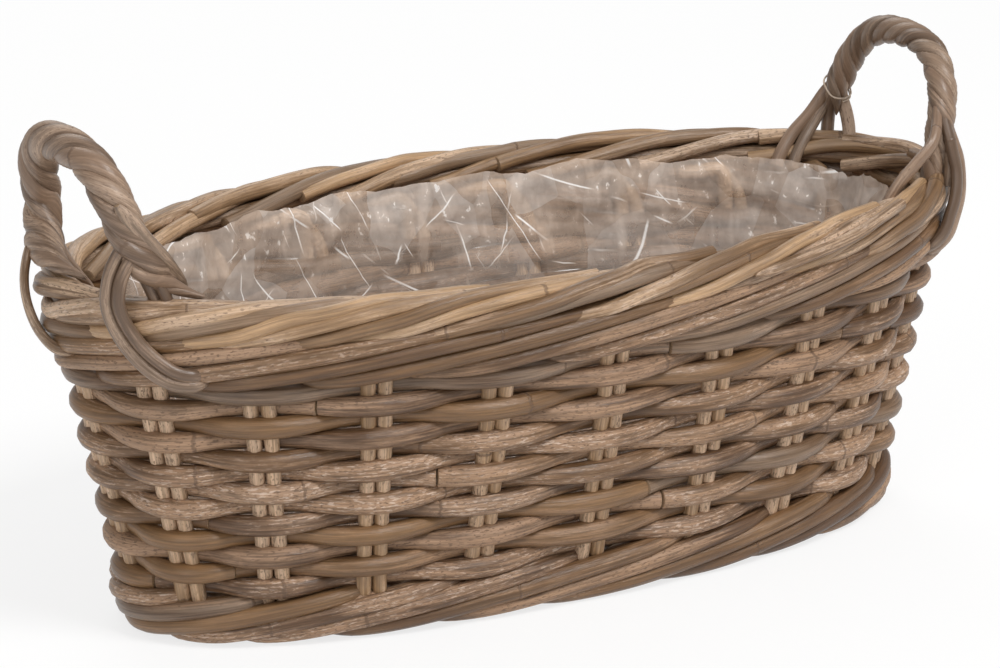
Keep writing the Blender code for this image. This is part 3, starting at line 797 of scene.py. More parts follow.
@dataclass
class CaneMesh:
    """Collects canes in one mesh, with lengthwise coordinates for the finish and the texture.

    Attributes:
        sides: points round a cane.
        maps: place of each point along, across and out of its cane.
        tones: three shade numbers of each point's cane.
        turns: distance of each point along its cane, in spaces between node rings.
        cuts: share of cut end at each corner of each face.
        corners: for each corner whether it is at a cut end, its strip or end, and its place there.
        around: largest girth of a cane.
        unevenness: share, waves in each metre along and waves round of each noise on a cane.
        node_swell: how much thicker a cane is at a node ring, as a share.
        flat_share: share of a cut end that is flat inside its chamfer.
        crisp: angle in degrees above which an edge is shown crisp.
    """

    seed: int
    sides: int = 12
    verts: list[Vector] = field(default_factory=list)
    faces: list[tuple[int, ...]] = field(default_factory=list)
    maps: list[Triple] = field(default_factory=list)
    tones: list[Colour] = field(default_factory=list)
    turns: list[float] = field(default_factory=list)
    cuts: list[float] = field(default_factory=list)
    corners: list[tuple[float, float, float, float]] = field(default_factory=list)
    length: float = 0.0
    around: float = 0.0
    caps: int = 0
    unevenness: ClassVar[tuple[Triple, ...]] = ((1.0, 24, 0.9), (0.6, 7, 2.6))
    node_spacing: ClassVar[tuple[float, float]] = (0.20, 0.34)
    node_swell: ClassVar[float] = 0.05
    node_width: ClassVar[float] = 0.0025
    flat_share: ClassVar[float] = 0.86
    chamfer_rise: ClassVar[float] = 0.10
    caps_in_row: ClassVar[int] = 10
    strip_margin: ClassVar[float] = 0.02
    crisp: ClassVar[float] = 50.0

    def __post_init__(self) -> None:
        """Start the random numbers of this mesh."""
        self.random = random.Random(self.seed)

    def _axes(self, route: Route, facing: Sequence[Vector] | None) -> list[Axes]:
        """Directions across and out of the cane at each point of its route.

        Args:
            route: points of its centre line.
            facing: outward direction for each point, or None to carry one along.

        Returns:
            Both directions for each point.
        """
        axes = []
        side = None
        for index in range(len(route)):
            heading = heading_at(route, index)
            if facing is not None:
                across = heading.cross(facing[index]).normalized()
            else:
                side = across = level_with(side or heading.orthogonal(), heading)
            axes.append((across, across.cross(heading).normalized()))
        return axes

    def _ring(self, centre: Vector, axes: Axes, sizes: tuple[float, float], along: float,
              grain: Vector, lumps: float) -> int:
        """Add one ring of points.

        Args:
            centre: middle of the ring.
            axes: directions across and out.
            sizes: half width and half thickness.
            along: distance along the cane.
            grain: random shift of the unevenness.
            lumps: unevenness as a share of the radius.

        Returns:
            Number of the ring's first point.
        """
        first = len(self.verts)
        across, out = axes
        for side in range(self.sides):
            turn = 2 * math.pi * side / self.sides
            cosine, sine = math.cos(turn), math.sin(turn)
            uneven = 1 + lumps * sum(
                share * noise_at(along * run, cosine * round_, sine * round_, grain)
                for share, run, round_ in self.unevenness
            )
            u, v = sizes[0] * cosine * uneven, sizes[1] * sine * uneven
            self.verts.append(centre + across * u + out * v)
            self.maps.append((along + grain.x, u, v))
        return first

    def _cap(self, ring: int, axes: Axes, heading: Vector) -> None:
        """Close a cut end with a small chamfer and a flat face.

        Args:
            ring: first point of the end ring.
            axes: directions across and out.
            heading: direction out of the end.
        """
        count = self.sides
        centre = sum((self.verts[ring + i] for i in range(count)), Vector()) / count
        rise = heading * (self.verts[ring] - centre).length * self.chamfer_rise
        inner = len(self.verts)
        for i in range(ring, ring + count):
            self.verts.append(centre.lerp(self.verts[i], self.flat_share) + rise)
            self.maps.append(self.maps[i])
        self.tones += [self.tones[ring]] * count
        self.turns += [self.turns[ring]] * count
        turns = [2 * math.pi * i / count for i in range(count)]
        spots = [(math.cos(turn), math.sin(turn)) for turn in turns]
        flat_spots = [(x * self.flat_share, y * self.flat_share) for x, y in spots]
        faces = [(tuple(range(inner, inner + count)), flat_spots, 1.0)]
        for i in reversed(range(count)):
            j = (i + 1) % count
            face = (ring + i, ring + j, inner + j, inner + i)
            faces.insert(0, (face, [spots[i], spots[j], flat_spots[j], flat_spots[i]], 0.5))
        order = 1 if axes[0].cross(axes[1]).dot(heading) > 0 else -1
        for face, where, cut in faces:
            self.faces.append(face[::order])
            self.corners += [(1.0, self.caps, x, y) for x, y in where[::order]]
            self.cuts += [cut] * len(face)
        self.caps += 1

    def lay(self, route: Route, laid: Laid) -> None:
        """Add one cane along a route.

        Args:
            route: points of its centre line.
            laid: how it is laid.
        """
        if laid.facing is not None and len(laid.facing) != len(route):
            raise ValueError("a strand needs one facing for each point of its route")
        axes = self._axes(route, laid.facing)
        grain = Vector([self.random.uniform(0, 40) for _ in range(3)])
        tones = laid.tone or [tuple(self.random.random() for _ in range(3))] * len(route)
        spacing, offset = self.random.uniform(*self.node_spacing), self.random.random()
        lengths = lengths_along(route)
        total = lengths[-1]
        rings = []
        widest = 0.0
        for index, point in enumerate(route):
            at = lengths[index]
            size = laid.radius if isinstance(laid.radius, float) else laid.radius[index]
            if laid.start_taper:
                size *= math.sqrt(min(1.0, (at + laid.start_taper * 0.10) / laid.start_taper))
            if laid.end_taper:
                left = (total - at + laid.end_taper * 0.01) / laid.end_taper
                size *= math.sqrt(min(1.0, left))
            turn = at / spacing + offset
            off_node = (turn % 1.0 - 0.5) * spacing
            size *= 1 + self.node_swell * math.exp(-((off_node / self.node_width) ** 2))
            widest = max(widest, size)
            sizes = (size, size * laid.flatness)
            rings.append(self._ring(point, axes[index], sizes, at, grain, laid.lumps))
            self.tones += [tones[index]] * self.sides
            self.turns += [turn] * self.sides
        for index, (near, far) in enumerate(zip(rings, rings[1:])):
            start, end = self.length + lengths[index], self.length + lengths[index + 1]
            for i in range(self.sides):
                j = (i + 1) % self.sides
                self.faces.append((near + i, near + j, far + j, far + i))
                low, high = i / self.sides, (i + 1) / self.sides
                self.corners += [(0.0, start, 0.0, low), (0.0, start, 0.0, high),
                                 (0.0, start, end - start, high), (0.0, start, end - start, low)]
                self.cuts += [0.0] * 4
        self._cap(rings[0], axes[0], (route[0] - route[1]).normalized())
        self._cap(rings[-1], axes[-1], (route[-1] - route[-2]).normalized())
        self.length += total
        self.around = max(self.around, 2 * math.pi * widest)

    def _texture_places(self) -> np.ndarray:
        """Texture coordinates: canes in parallel strips, cut ends in rows of their own.

        Returns:
            Two coordinates for each corner of each face.
        """
        is_cap, at, x, y = np.array(self.corners).T
        strips = max(1, round(math.sqrt(self.length / self.around)))
        rows = strips + max(1, math.ceil(self.caps / self.caps_in_row))
        run = self.length / strips
        strip = np.minimum(np.floor(at / run), strips - 1)
        u = (at - strip * run + x) / (run + self.strip_margin)
        v = (strip + 0.06 + 0.88 * y) / rows
        cap_row, cap_column = np.divmod(at, self.caps_in_row)
        cap_u = (cap_column + 0.5 + 0.4 * x) / self.caps_in_row
        cap_v = (strips + cap_row + 0.5 + 0.4 * y) / rows
        return np.stack([np.where(is_cap, cap_u, u), np.where(is_cap, cap_v, v)], axis=1)

    def piece(self, name: str, kind: Cane, slot: str, stands_for: Sequence[str]) -> None:
        """Make the object and put it in the frame, on the basket's body.

        Args:
            name: object name.
            kind: kind of cane.
            slot: handed on to settle.
            stands_for: nodes that the piece replaces.
        """
        mesh = bpy.data.meshes.new(name)
        mesh.from_pydata(self.verts, [], self.faces)
        for label, type_, domain, key, values in (
            ("cane_map", "FLOAT_VECTOR", "POINT", "vector", self.maps),
            ("cane_tone", "FLOAT_VECTOR", "POINT", "vector", self.tones),
            ("cane_turn", "FLOAT", "POINT", "value", self.turns),
            ("cane_cut", "FLOAT", "CORNER", "value", self.cuts),
        ):
            mesh.attributes.new(label, type_, domain).data.foreach_set(key, np.ravel(values))
        places = self._texture_places()
        mesh.uv_layers.new(name="OFBake").data.foreach_set("uv", places.ravel())
        mesh.shade_smooth()
        mesh.set_sharp_from_angle(angle=math.radians(self.crisp))
        mesh.materials.append(kind.material)
        settle(bpy.data.objects.new(name, mesh), "basket", slot, stands_for)


def settle(piece: bpy.types.Object, body: str, slot: str, stands_for: Sequence[str]) -> None:
    """Link a piece, ride it on its body and let it stand for its nodes.

    Args:
        piece: new object.
        body: body that it rides on.
        slot: not used.
        stands_for: nodes that it replaces.
    """
    bpy.context.scene.collection.objects.link(piece)
    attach(piece, body)
    if stands_for:
        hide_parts(*stands_for)
    LOG.info("%s stands for %s", piece.name, ", ".join(stands_for) or "itself")


# Wall and border


@dataclass(frozen=True)
class Stakes:
    """Pairs of canes that stand in the wall and roll over the rim as its border.

    Attributes:
        spread: distance of each cane from the middle of its pair.
        advance: reach of the standing canes.
        levels: number of knots in the wall, each shifted by up to sway along it and lean out of it.
        upper_rise: half height of the roll for the left cane of a pair; lower_rise is that of the
            right one, and roll_reach the half width of both.
        unrest: degrees by which a cane strays round the roll.
        swing: distance by which it strays in or out.
        drift: step of the noise behind both.
        upper_turns: pairs past its own and degrees round the roll of the left cane; lower_turns
            are those of the right one and far_turns those of the left one along the back.
        near_pairs: pairs on either side of the front's middle that aren't the back.
    """

    radius: float = 0.0038
    spread: float = 0.0039
    advance: float = 0.0014
    foot: float = 0.0040
    levels: int = 5
    sway: float = 0.008
    lean: float = 0.0003
    border_radius: float = 0.0039
    core_radius: float = 0.0042
    core_parts: int = 400
    roll_reach: float = 0.0080
    upper_rise: float = 0.0096
    lower_rise: float = 0.0080
    roll_start: float = 0.12
    roll_parts: int = 18
    unrest: float = 16.0
    swing: float = 0.0014
    drift: float = 0.28
    step: float = 0.0045
    standing_tone: Triple = (0.95, 0.98, 0.16)
    upper_turns: tuple[tuple[float, float], ...] = ((0.04, -84), (2.25, 94), (2.9, 112))
    lower_turns: tuple[tuple[float, float], ...] = ((0.04, -116), (2.35, 74), (3.9, 196))
    far_turns: tuple[tuple[float, float], ...] = ((0.04, -84), (2.2, 94), (3.3, 152))
    near_pairs: int = 4

    def _standing(self, pair: int, aside: float, wobble: random.Random) -> Route:
        """Knots of a cane from the foot to the top of the rows.

        Args:
            pair: number of the pair.
            aside: distance of the cane from the middle of its pair.
            wobble: random numbers.

        Returns:
            The knots.
        """
        knots = []
        last = self.levels - 1
        for level in range(self.levels):
            height = blend(self.foot, WALL.row_height(WALL.row_count), level / last)
            place = pair + aside * WALL.places_per_metre(pair, height)
            place += wobble.uniform(-self.sway, self.sway) * (0 < level < last)
            reach = self.advance * (level < last) + wobble.uniform(-self.lean, self.lean)
            knots.append(WALL.point(place, reach, height))
        return knots

    def _rolled(self, pair: int, upper: bool, wobble: random.Random) -> Route:
        """Knots of a cane in the roll of the border.

        Args:
            pair: number of the pair.
            upper: True for the left cane of the pair.
            wobble: random numbers.

        Returns:
            The knots.
        """
        knots = []
        turns = self.upper_turns if upper else self.lower_turns
        end = turns[-1][0] + wobble.uniform(-0.15, 0.04)
        if upper and self.near_pairs < pair < WALL.pair_count - self.near_pairs:
            turns = self.far_turns
            end = turns[-1][0] + wobble.uniform(-0.2, 0.0)
        phase = wobble.uniform(-9, 9)
        loose = wobble.uniform(-0.0008, 0.0012)
        wander = Vector((pair * 3.1, 7.0 * upper, 0.5))
        aside = Vector((40, 0, 0))
        rise = self.upper_rise if upper else self.lower_rise
        for i in range(self.roll_parts + 1):
            share = blend(self.roll_start, end, i / self.roll_parts)
            astray = phase + self.unrest * perlin.noise(wander)
            turn = math.radians(along_table(turns, share) + astray)
            wander.z += self.drift
            swing = loose + self.swing * perlin.noise(wander + aside)
            reach = (self.roll_reach + swing) * math.cos(turn)
            height = WALL.roll_height + (rise + swing) * math.sin(turn)
            knots.append(WALL.point(pair + share, reach, height))
        return knots

    def route(self, pair: int, upper: bool, wobble: random.Random) -> tuple[Route, Laid]:
        """Centre line of one cane of a pair and how it is laid.

        Args:
            pair: number of the pair.
            upper: True for the left cane, which lies above its neighbour in the border.
            wobble: random numbers.

        Returns:
            The points of its centre line, and the way it is laid.
        """
        knots = self._standing(pair, self.spread * (-1 if upper else 1), wobble)
        top = knots[-1].z - 0.004
        knots += self._rolled(pair, upper, wobble)
        route = smooth_route(knots, self.step)
        rolled = self.border_radius * wobble.uniform(0.88, 1.10)
        first = next(i for i, point in enumerate(route) if point.z > top)
        standing = [1 - eased((i - first) / 3) for i in range(len(route))]
        radii = [blend(rolled, self.radius, share) for share in standing]
        lying = [wobble.random() for _ in range(3)]
        tones = [tuple(map(blend, lying, self.standing_tone, [share] * 3)) for share in standing]
        return route, Laid(radii, lumps=0.08, tone=tones)

    def core(self) -> None:
        """Build the long rod that the border canes are rolled round."""
        canes = CaneMesh(seed=140)
        places = [blend(0.02, WALL.pair_count, i / self.core_parts)
                  for i in range(self.core_parts + 1)]
        line = [WALL.point(place, 0.0, WALL.roll_height) for place in places]
        canes.lay(even_route(line, self.step), Laid(self.core_radius))
        canes.piece("border_core_rod", Cane.BORDER, "stakes", [])

    def build(self) -> None:
        """Build the twenty pairs and the rod in their roll."""
        self.core()
        for pair in range(WALL.pair_count):
            canes = CaneMesh(seed=100 + pair)
            for upper in (True, False):
                canes.lay(*self.route(pair, upper, canes.random))
            name = f"stake_pair_{pair + 1:02d}"
            canes.piece(f"{name}_canes", Cane.BORDER, "stakes", [name])


@dataclass(frozen=True)
class WovenRows:
    """Rows of single rods, each in front of every second pair of stakes.

    Attributes:
        thick: radius of a rod at a pair; between the pairs it is slim.
        reach: reach of the wave at a pair; along the back it is far_reach.
        far_extra: extra radius along the back.
        bulge: power that flattens the wave at the pairs.
        tucked_row: row that passes behind the winding round the foot, with a share tuck of its
            reach and lower by sink.
        gap: half the gap where two rods meet, in pairs.
        joins: number of each row and place at which its first rod starts.
    """

    thick: float = 0.0055
    slim: float = 0.0047
    reach: float = 0.0049
    far_extra: float = 0.0004
    far_reach: float = 0.0042
    bulge: float = 0.85
    dip: float = 0.0004
    sway: float = 0.0004
    unevenness: float = 0.0008
    swell: float = 0.10
    points_per_pair: int = 14
    tucked_row: int = 0
    tuck: float = 0.45
    sink: float = 0.0028
    gap: float = 0.012
    joins: tuple[tuple[int, float], ...] = (
        (7, 18.55), (4, 0.42), (11, 2.45), (2, 16.55), (9, 4.5), (12, 17.5), (0, 19.45), (5, 7.4),
        (13, 9.5), (10, 12.4), (3, 11.6), (8, 14.45), (6, 2.55), (1, 5.5),
    )

    def route(self, row: int, start: float, end: float, drift: Vector) -> tuple[Route, list[float]]:
        """Centre line of one rod of a row and its radius along it.

        Args:
            row: number of the row, from the lowest.
            start: place where the rod starts.
            end: place where it ends.
            drift: random shift of its unevenness.

        Returns:
            The points of its centre line, and as many radii.
        """
        points, radii = [], []
        count = round((end - start) * self.points_per_pair)
        for i in range(count + 1):
            place = blend(start, end, i / count)
            wave = math.cos(math.pi * (place - row))
            bulge = math.copysign(abs(wave) ** self.bulge, wave)
            uneven = noise_at(place * 0.9, row * 3.7, 0, drift)
            height = WALL.row_height(row) - self.dip * wave + self.unevenness * uneven
            far = WALL.far(place)
            reach = blend(self.reach, self.far_reach, far) * bulge
            reach += self.sway * noise_at(place, 9, row)
            if row == self.tucked_row and wave > 0:
                reach *= self.tuck
                height -= self.sink * wave
            points.append(WALL.point(place, reach, height))
            swell = 1 + self.swell * noise_at(place * 0.45, 5, row * 2.3, drift)
            thick = self.thick + self.far_extra * far
            radii.append(blend(self.slim, thick, abs(wave) ** 1.3) * swell)
        return points, radii

    def build(self) -> None:
        """Build the fourteen rows, each of two rods that meet end to end."""
        for row, first in sorted(self.joins):
            rods = CaneMesh(seed=300 + row)
            second = first + 9 + rods.random.randint(0, 2)
            drift = Vector([rods.random.uniform(0, 50) for _ in range(3)])
            for start, end in ((first, second), (second, first + WALL.pair_count)):
                route, radii = self.route(row, start + self.gap, end - self.gap, drift)
                rods.lay(route, Laid(radii, lumps=0.08))
            name = f"weaver_row_{row + 1:02d}"
            rods.piece(f"{name}_rods", Cane.WEAVER, "weavers", [name])


@dataclass(frozen=True)
class Winding:
    """Overlapping strokes that rise to the right, one from each pair of stakes.

    Attributes:
        name: object name.
        nodes: nodes that it stands for.
        radius: radius of a stroke at its thickest.
        path: places past the stroke's own pair, reaches and heights.
        seed: seed of its random numbers.
        dip: how much lower the strokes start along the back.
        swell: how much thicker they are along the back, as a share.
        bedded: height up to which the knots keep to the floor.
        lift: greatest random lift of the knots above it.
        level_from: pairs past its own from which a stroke no longer dips.
        level_over: pairs over which the dip ends.
        slim: share of its radius that a stroke keeps at its ends.
        step: distance from one ring of points to the next.
    """

    name: str
    nodes: tuple[str, ...]
    radius: float
    path: tuple[Triple, ...]
    seed: int
    dip: float = 0.0
    swell: float = 0.0
    bedded: float = 0.006
    lift: float = 0.0006
    level_from: float = 3.6
    level_over: float = 2.8
    slim: float = 0.80
    step: float = 0.0045

    def knot(self, pair: int, past: float, reach: float, height: float) -> Vector:
        """Point of the stroke of a pair, from a line of the path."""
        level = eased((self.level_from - past) / self.level_over)
        return WALL.point(pair + past, reach, height - self.dip * WALL.far(pair + past) * level)

    def build(self) -> None:
        """Build the strokes as one piece."""
        canes = CaneMesh(seed=self.seed)
        for pair in range(WALL.pair_count):
            lift = canes.random.uniform(-self.lift, self.lift)
            knots = [self.knot(pair, p, r, h + lift * (h > self.bedded)) for p, r, h in self.path]
            route = smooth_route(knots, self.step)
            size = self.radius * canes.random.uniform(0.92, 1.04)
            size *= 1 + self.swell * WALL.far(pair + 2)
            last = len(route) - 1
            bulges = [math.sin(math.pi * i / last) for i in range(last + 1)]
            radii = [size * blend(self.slim, 1.0, bulge) for bulge in bulges]
            canes.lay(route, Laid(radii, lumps=0.08))
        canes.piece(self.name, Cane.WEAVER, "wales", self.nodes)


class Windings(Enum):
    """The thick winding round the foot and the one above the rows."""

    FOOT = Winding(
        "foot_winding", ("foot_wale_1", "foot_wale_2"), 0.0051,
        ((-0.75, -0.0085, 0.0055), (-0.45, -0.0020, 0.0050), (-0.15, 0.0045, 0.0050),
         (0.35, 0.0068, 0.0066), (1.0, 0.0072, 0.0112), (1.5, 0.0074, 0.0148),
         (2.0, 0.0072, 0.0186), (2.45, 0.0060, 0.0216), (2.75, 0.0025, 0.0230),
         (3.05, -0.0050, 0.0232)), 500,
    )
    UPPER = Winding(
        "upper_winding", ("upper_wale_1", "upper_wale_2"), 0.0046,
        ((-0.15, -0.0072, 0.1385), (0.15, -0.0062, 0.1390), (0.48, 0.0010, 0.1405),
         (0.8, 0.0066, 0.1425), (1.2, 0.0074, 0.1455), (2.0, 0.0076, 0.1520),
         (2.8, 0.0074, 0.1585), (3.4, 0.0056, 0.1622), (3.8, 0.0030, 0.1635)), 520, 0.0013, 0.2,
    )


# Base


@dataclass(frozen=True)
class Base:
    """Oval base: rings woven over and under slotted cross sticks and a pair of long sticks.

    Attributes:
        rod_half_width: half width of the rod that a ring stands for; drawn, it is wider.
        end_spread: how much further apart the rings lie at the ends.
        climb: length over which a ring climbs over a stick.
        stick_pairs: places of the cross sticks, in pairs from the front's middle.
        settle: share of the full wave over and under the sticks.
        fit: share of a stick's radius that is drawn; long_fit is that of the long sticks.
        step: distance from one ring of points to the next; stick_step is that of a stick.
    """

    ring_count: int = 5
    rod_half_width: float = 0.0040
    rod_half_height: float = 0.0036
    ring_clearance: float = 0.0029
    ring_half_width: float = 0.0052
    end_spread: float = 1.30
    climb: float = 0.0120
    lift: float = 0.0008
    stick_radius: float = 0.0038
    stick_pairs: tuple[int, ...] = (-2, -1, 0, 1, 2)
    long_radius: float = 0.0024
    settle: float = 0.98
    fit: float = 0.98
    long_fit: float = 0.97
    samples: int = 300
    step: float = 0.0046
    stick_step: float = 0.005

    @property
    def reach(self) -> float:
        """Height from the sticks' middle to the middle of a rod over them."""
        return self.stick_radius + WALL.seat_clearance + self.rod_half_height

    @property
    def middle(self) -> float:
        """Height of the sticks' middle."""
        return self.lift + self.reach + self.rod_half_height

    def stick_places(self) -> list[float]:
        """Distances along the length at which the cross sticks lie."""
        return [WALL.frame_at(WALL.angle(p), self.middle)[0].x for p in self.stick_pairs]

    def ring_route(self, ring: int) -> Route:
        """Centre line of one ring, closed to within a small gap.

        Args:
            ring: number of the ring, from the outermost.

        Returns:
            The points of its centre line.
        """
        inset = WALL.half + WALL.seat_clearance + self.rod_half_width
        ends = [WALL.frame_at(a, self.lift) for a in (0.0, math.pi / 2)]
        long_half = ends[0][0].x - inset
        wide_half = ends[1][0].y - inset
        drawn = ring * (2 * self.rod_half_width + self.ring_clearance)
        scale = (1 - drawn * self.end_spread / long_half, 1 - drawn / wide_half)
        crossings = [x for x in self.stick_places()
                     if abs(x) + self.stick_radius + self.climb < long_half * scale[0]]
        crossings.sort(reverse=True)
        bands = [long_half * scale[0], *crossings, -long_half * scale[0]]
        points = []
        for i in range(self.samples):
            angle = math.pi * 2 * (i + 0.5) / self.samples
            middle, outward = WALL.frame_at(angle, self.lift)
            flat = middle - outward * inset
            x, y = flat.x * scale[0], flat.y * scale[1]
            index = sum(1 for band in bands if band > x) - 1
            share = (bands[index] - x) / max(bands[index] - bands[index + 1], 1e-6)
            swaps = index + ring + (i >= self.samples / 2 and len(crossings) % 2 == 0)
            wave = (-1) ** swaps * math.cos(math.pi * share)
            points.append(Vector((x, y, self.middle + self.reach * wave * self.settle)))
        return even_route(points, self.step)

    def build(self) -> None:
        """Build the rings and the sticks."""
        for ring in range(self.ring_count):
            canes = CaneMesh(seed=600 + ring, sides=10)
            route = self.ring_route(ring)
            flat = self.rod_half_height / self.ring_half_width
            canes.lay(route, Laid(self.ring_half_width, flat, [Vector((0, 0, 1))] * len(route)))
            name = f"base_ring_{ring + 1}"
            canes.piece(f"{name}_rod", Cane.BASE, "base_rods", [name])
        for number, x in enumerate(self.stick_places(), start=1):
            node = f"base_cross_stick_{number}"
            canes = CaneMesh(seed=620 + number)
            ends = [Vector((x, corner[1], self.middle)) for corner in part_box(node)]
            laid = Laid(self.stick_radius * self.fit, lumps=0.05)
            canes.lay(even_route(ends, self.stick_step), laid)
            canes.piece(f"{node}_cane", Cane.BASE, "base_rods", [node])
        node = "base_long_sticks"
        canes = CaneMesh(seed=640)
        for side in (-1, 1):
            y = side * self.long_radius
            ends = [Vector((corner[0], y, self.middle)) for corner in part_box(node)]
            laid = Laid(self.long_radius * self.long_fit, lumps=0.05)
            canes.lay(even_route(ends, self.stick_step), laid)
        canes.piece("base_long_stick_canes", Cane.BASE, "base_rods", [node])


# Handles


class Leg(Enum):
    """Legs of the two handles, by their oval parameters in degrees."""

    LEFT_FRONT = 205.3
    LEFT_BACK = 160.0
    RIGHT_FRONT = -25.3
    RIGHT_BACK = 25.3

    @property
    def angle(self) -> float:
        """Oval parameter of the leg."""
        return math.radians(self.value)

    @cached_property
    def place(self) -> float:
        """Place of the leg, counted in pairs."""
        return WALL.place(self.angle)


def border_top(middle: Vector, radius: float) -> float:
    """Height of the top of the border under a round spot.

    Args:
        middle: middle of the spot; its height isn't used.
        radius: radius of the spot.

    Returns:
        The height at which something of that size rests on the border.
    """
    start, end, parts = 0.2, 3.4, 16
    rod = WALL.border_rod_radius
    rise = WALL.border_half_height - rod
    highest = WALL.wale_top
    for pair in range(WALL.pair_count):
        for part in range(parts + 1):
            share = blend(start, end, part / parts)
            turn = math.radians((share - start) * 80 - 90)
            height = WALL.roll_height + rise * math.sin(turn)
            point = WALL.point(pair + share, (WALL.half - rod) * math.cos(turn), height)
            aside = max((point - middle).xy.length - radius, 0)
            if aside < rod:
                highest = max(highest, height + math.sqrt(rod ** 2 - aside ** 2))
    return highest + WALL.seat_clearance


@dataclass(frozen=True)
class Rope:
    """Roped bow of twisted strands that stands on the border.

    Attributes:
        name: side of the basket.
        legs: front leg and back leg.
        radius: radius of the rope.
        rise: height of its centre line above the rim at the top.
        outset: how far the top stands further out than the wall's own lean.
        strands: number of strands.
        lay: length of one full turn of a strand.
        strand_width: half width of a strand.
        strand_thickness: half thickness of a strand.
        phase: turn of the first strand at the front leg.
        shares: share of the bow at which each strand ends.
        front_run: places, reaches and heights over the rim by which the front leg runs out
            along the border; none where it stands straight in it.
        back_run: the same for the back leg.
        bow_power: power of the oval that the bow follows.
        sink: depth to which a straight leg stands in the border.
        thinning: length over which the rope thins out at a leg.
        upright_fullness: share of its fullness that it keeps at the foot of a straight leg.
        stray: turn by which a strand strays from its lay.
        looseness: share by which it strays in or out; swell is the same for its width.
        run_taper: length over which a strand ends that runs out along the border.
        end_taper: length over which one ends that is cut short.
        samples: parts of the bow.
        knot_step: distance from one knot of the bow to the next, and the least height of the
            first one over a run.
    """

    name: str
    legs: tuple[Leg, Leg]
    radius: float
    rise: float
    outset: float
    strands: int
    lay: float
    strand_width: float
    strand_thickness: float
    phase: float
    shares: tuple[float, ...]
    seed: int
    front_run: tuple[Triple, ...] = ()
    back_run: tuple[Triple, ...] = ()
    bow_power: float = 2.7
    sink: float = 0.012
    thinning: float = 0.042
    upright_fullness: float = 0.55
    stray: float = 0.22
    looseness: float = 0.10
    swell: float = 0.12
    run_taper: float = 0.030
    end_taper: float = 0.022
    samples: int = 120
    knot_step: float = 0.012
    step: float = 0.0022

    @cached_property
    def line(self) -> tuple[Route, Vector]:
        """Centre line of the bow.

        Returns:
            Its points from the front leg to the back leg, and the normal of its plane.
        """
        angles = [leg.angle for leg in self.legs]
        bases = [WALL.frame_at(a, WALL.rim_height)[0] for a in angles]
        seats = [border_top(base, self.radius) for base in bases]
        middle, half_span = (bases[0] + bases[1]) / 2, (bases[1] - bases[0]) / 2
        outward = WALL.frame_at(sum(angles) / 2, WALL.rim_height)[1]
        lean = outward * (WALL.rim_half_length - WALL.foot_half_length) / WALL.rim_height
        points = []
        count = self.samples
        for step in range(count + 1):
            turn = math.pi * step / count
            aside = -math.copysign(abs(math.cos(turn)) ** (2 / self.bow_power), math.cos(turn))
            up = abs(math.sin(turn)) ** (2 / self.bow_power) if 0 < step < count else 0
            height = blend(seats[step > count / 2], WALL.rim_height + self.rise, up)
            point = middle + half_span * aside + lean * (height - WALL.rim_height)
            point += outward * self.outset * up
            point.z = height
            points.append(point)
        down = Vector((0, 0, -self.sink)) - lean * self.sink
        front, back = [[WALL.point(p, r, WALL.rim_height + h) for p, r, h in run]
                       for run in (self.front_run, self.back_run)]
        lowest = [run[0].z + self.knot_step if run else 0.0 for run in (front, back)]
        arc = [p for i, p in enumerate(points) if p.z > lowest[i > count / 2]]
        knots = [*(front[::-1] or [points[0] + down]), *even_route(arc, self.knot_step),
                 *(back or [points[-1] + down])]
        plane = (bases[1] - bases[0]).cross(Vector((0, 0, 1)) + lean).normalized()
        return smooth_route(knots, self.step), plane

    def _sides(self) -> Route:
        """Sideways directions, carried down both legs from the top.

        Returns:
            The direction along the plane's normal at each point of the line.
        """
        line, plane = self.line
        last = len(line) - 1
        sides = [plane] * len(line)
        for order in (range(last // 2, last + 1), range(last // 2, -1, -1)):
            side = plane
            for index in order:
                sides[index] = side = level_with(side, heading_at(line, index))
        return sides

    def spot(self, share: float, outward: float, inner: float) -> Vector:
        """Point near the bow's centre line.

        Args:
            share: share of the line, from the front leg.
            outward: distance along the plane's normal.
            inner: distance towards the opening of the bow.

        Returns:
            The point.
        """
        line, plane = self.line
        index = min(max(round(share * (len(line) - 1)), 1), len(line) - 2)
        level = (line[index + 1] - line[index - 1]).normalized().cross(plane)
        return line[index] + plane * outward + level * inner

    def bind(self, share: float, turns: float, radius: float, slant: float) -> None:
        """Wind a thin string round the bow.

        Args:
            share: share of the line at which the string sits.
            turns: number of turns.
            radius: distance of the string from the centre line.
            slant: how much lower it sits on the side of the opening, as a share of the line.
        """
        canes = CaneMesh(seed=790, sides=8)
        route = []
        parts = 24
        for step in range(round(turns * parts) + 1):
            turn = 2 * math.pi * step / parts
            place = share + 0.010 * step / parts + slant * math.sin(turn)
            wide = radius * (1.0 + 0.18 * max(0.0, -math.cos(turn)))
            route.append(self.spot(place, wide * math.cos(turn), radius * math.sin(turn)))
        route = smooth_route(route[::3], 0.0008)
        canes.lay(route, Laid(0.0005, lumps=0.1))
        canes.piece(f"{self.name}_string", Cane.STRING, "handle_strands", [])

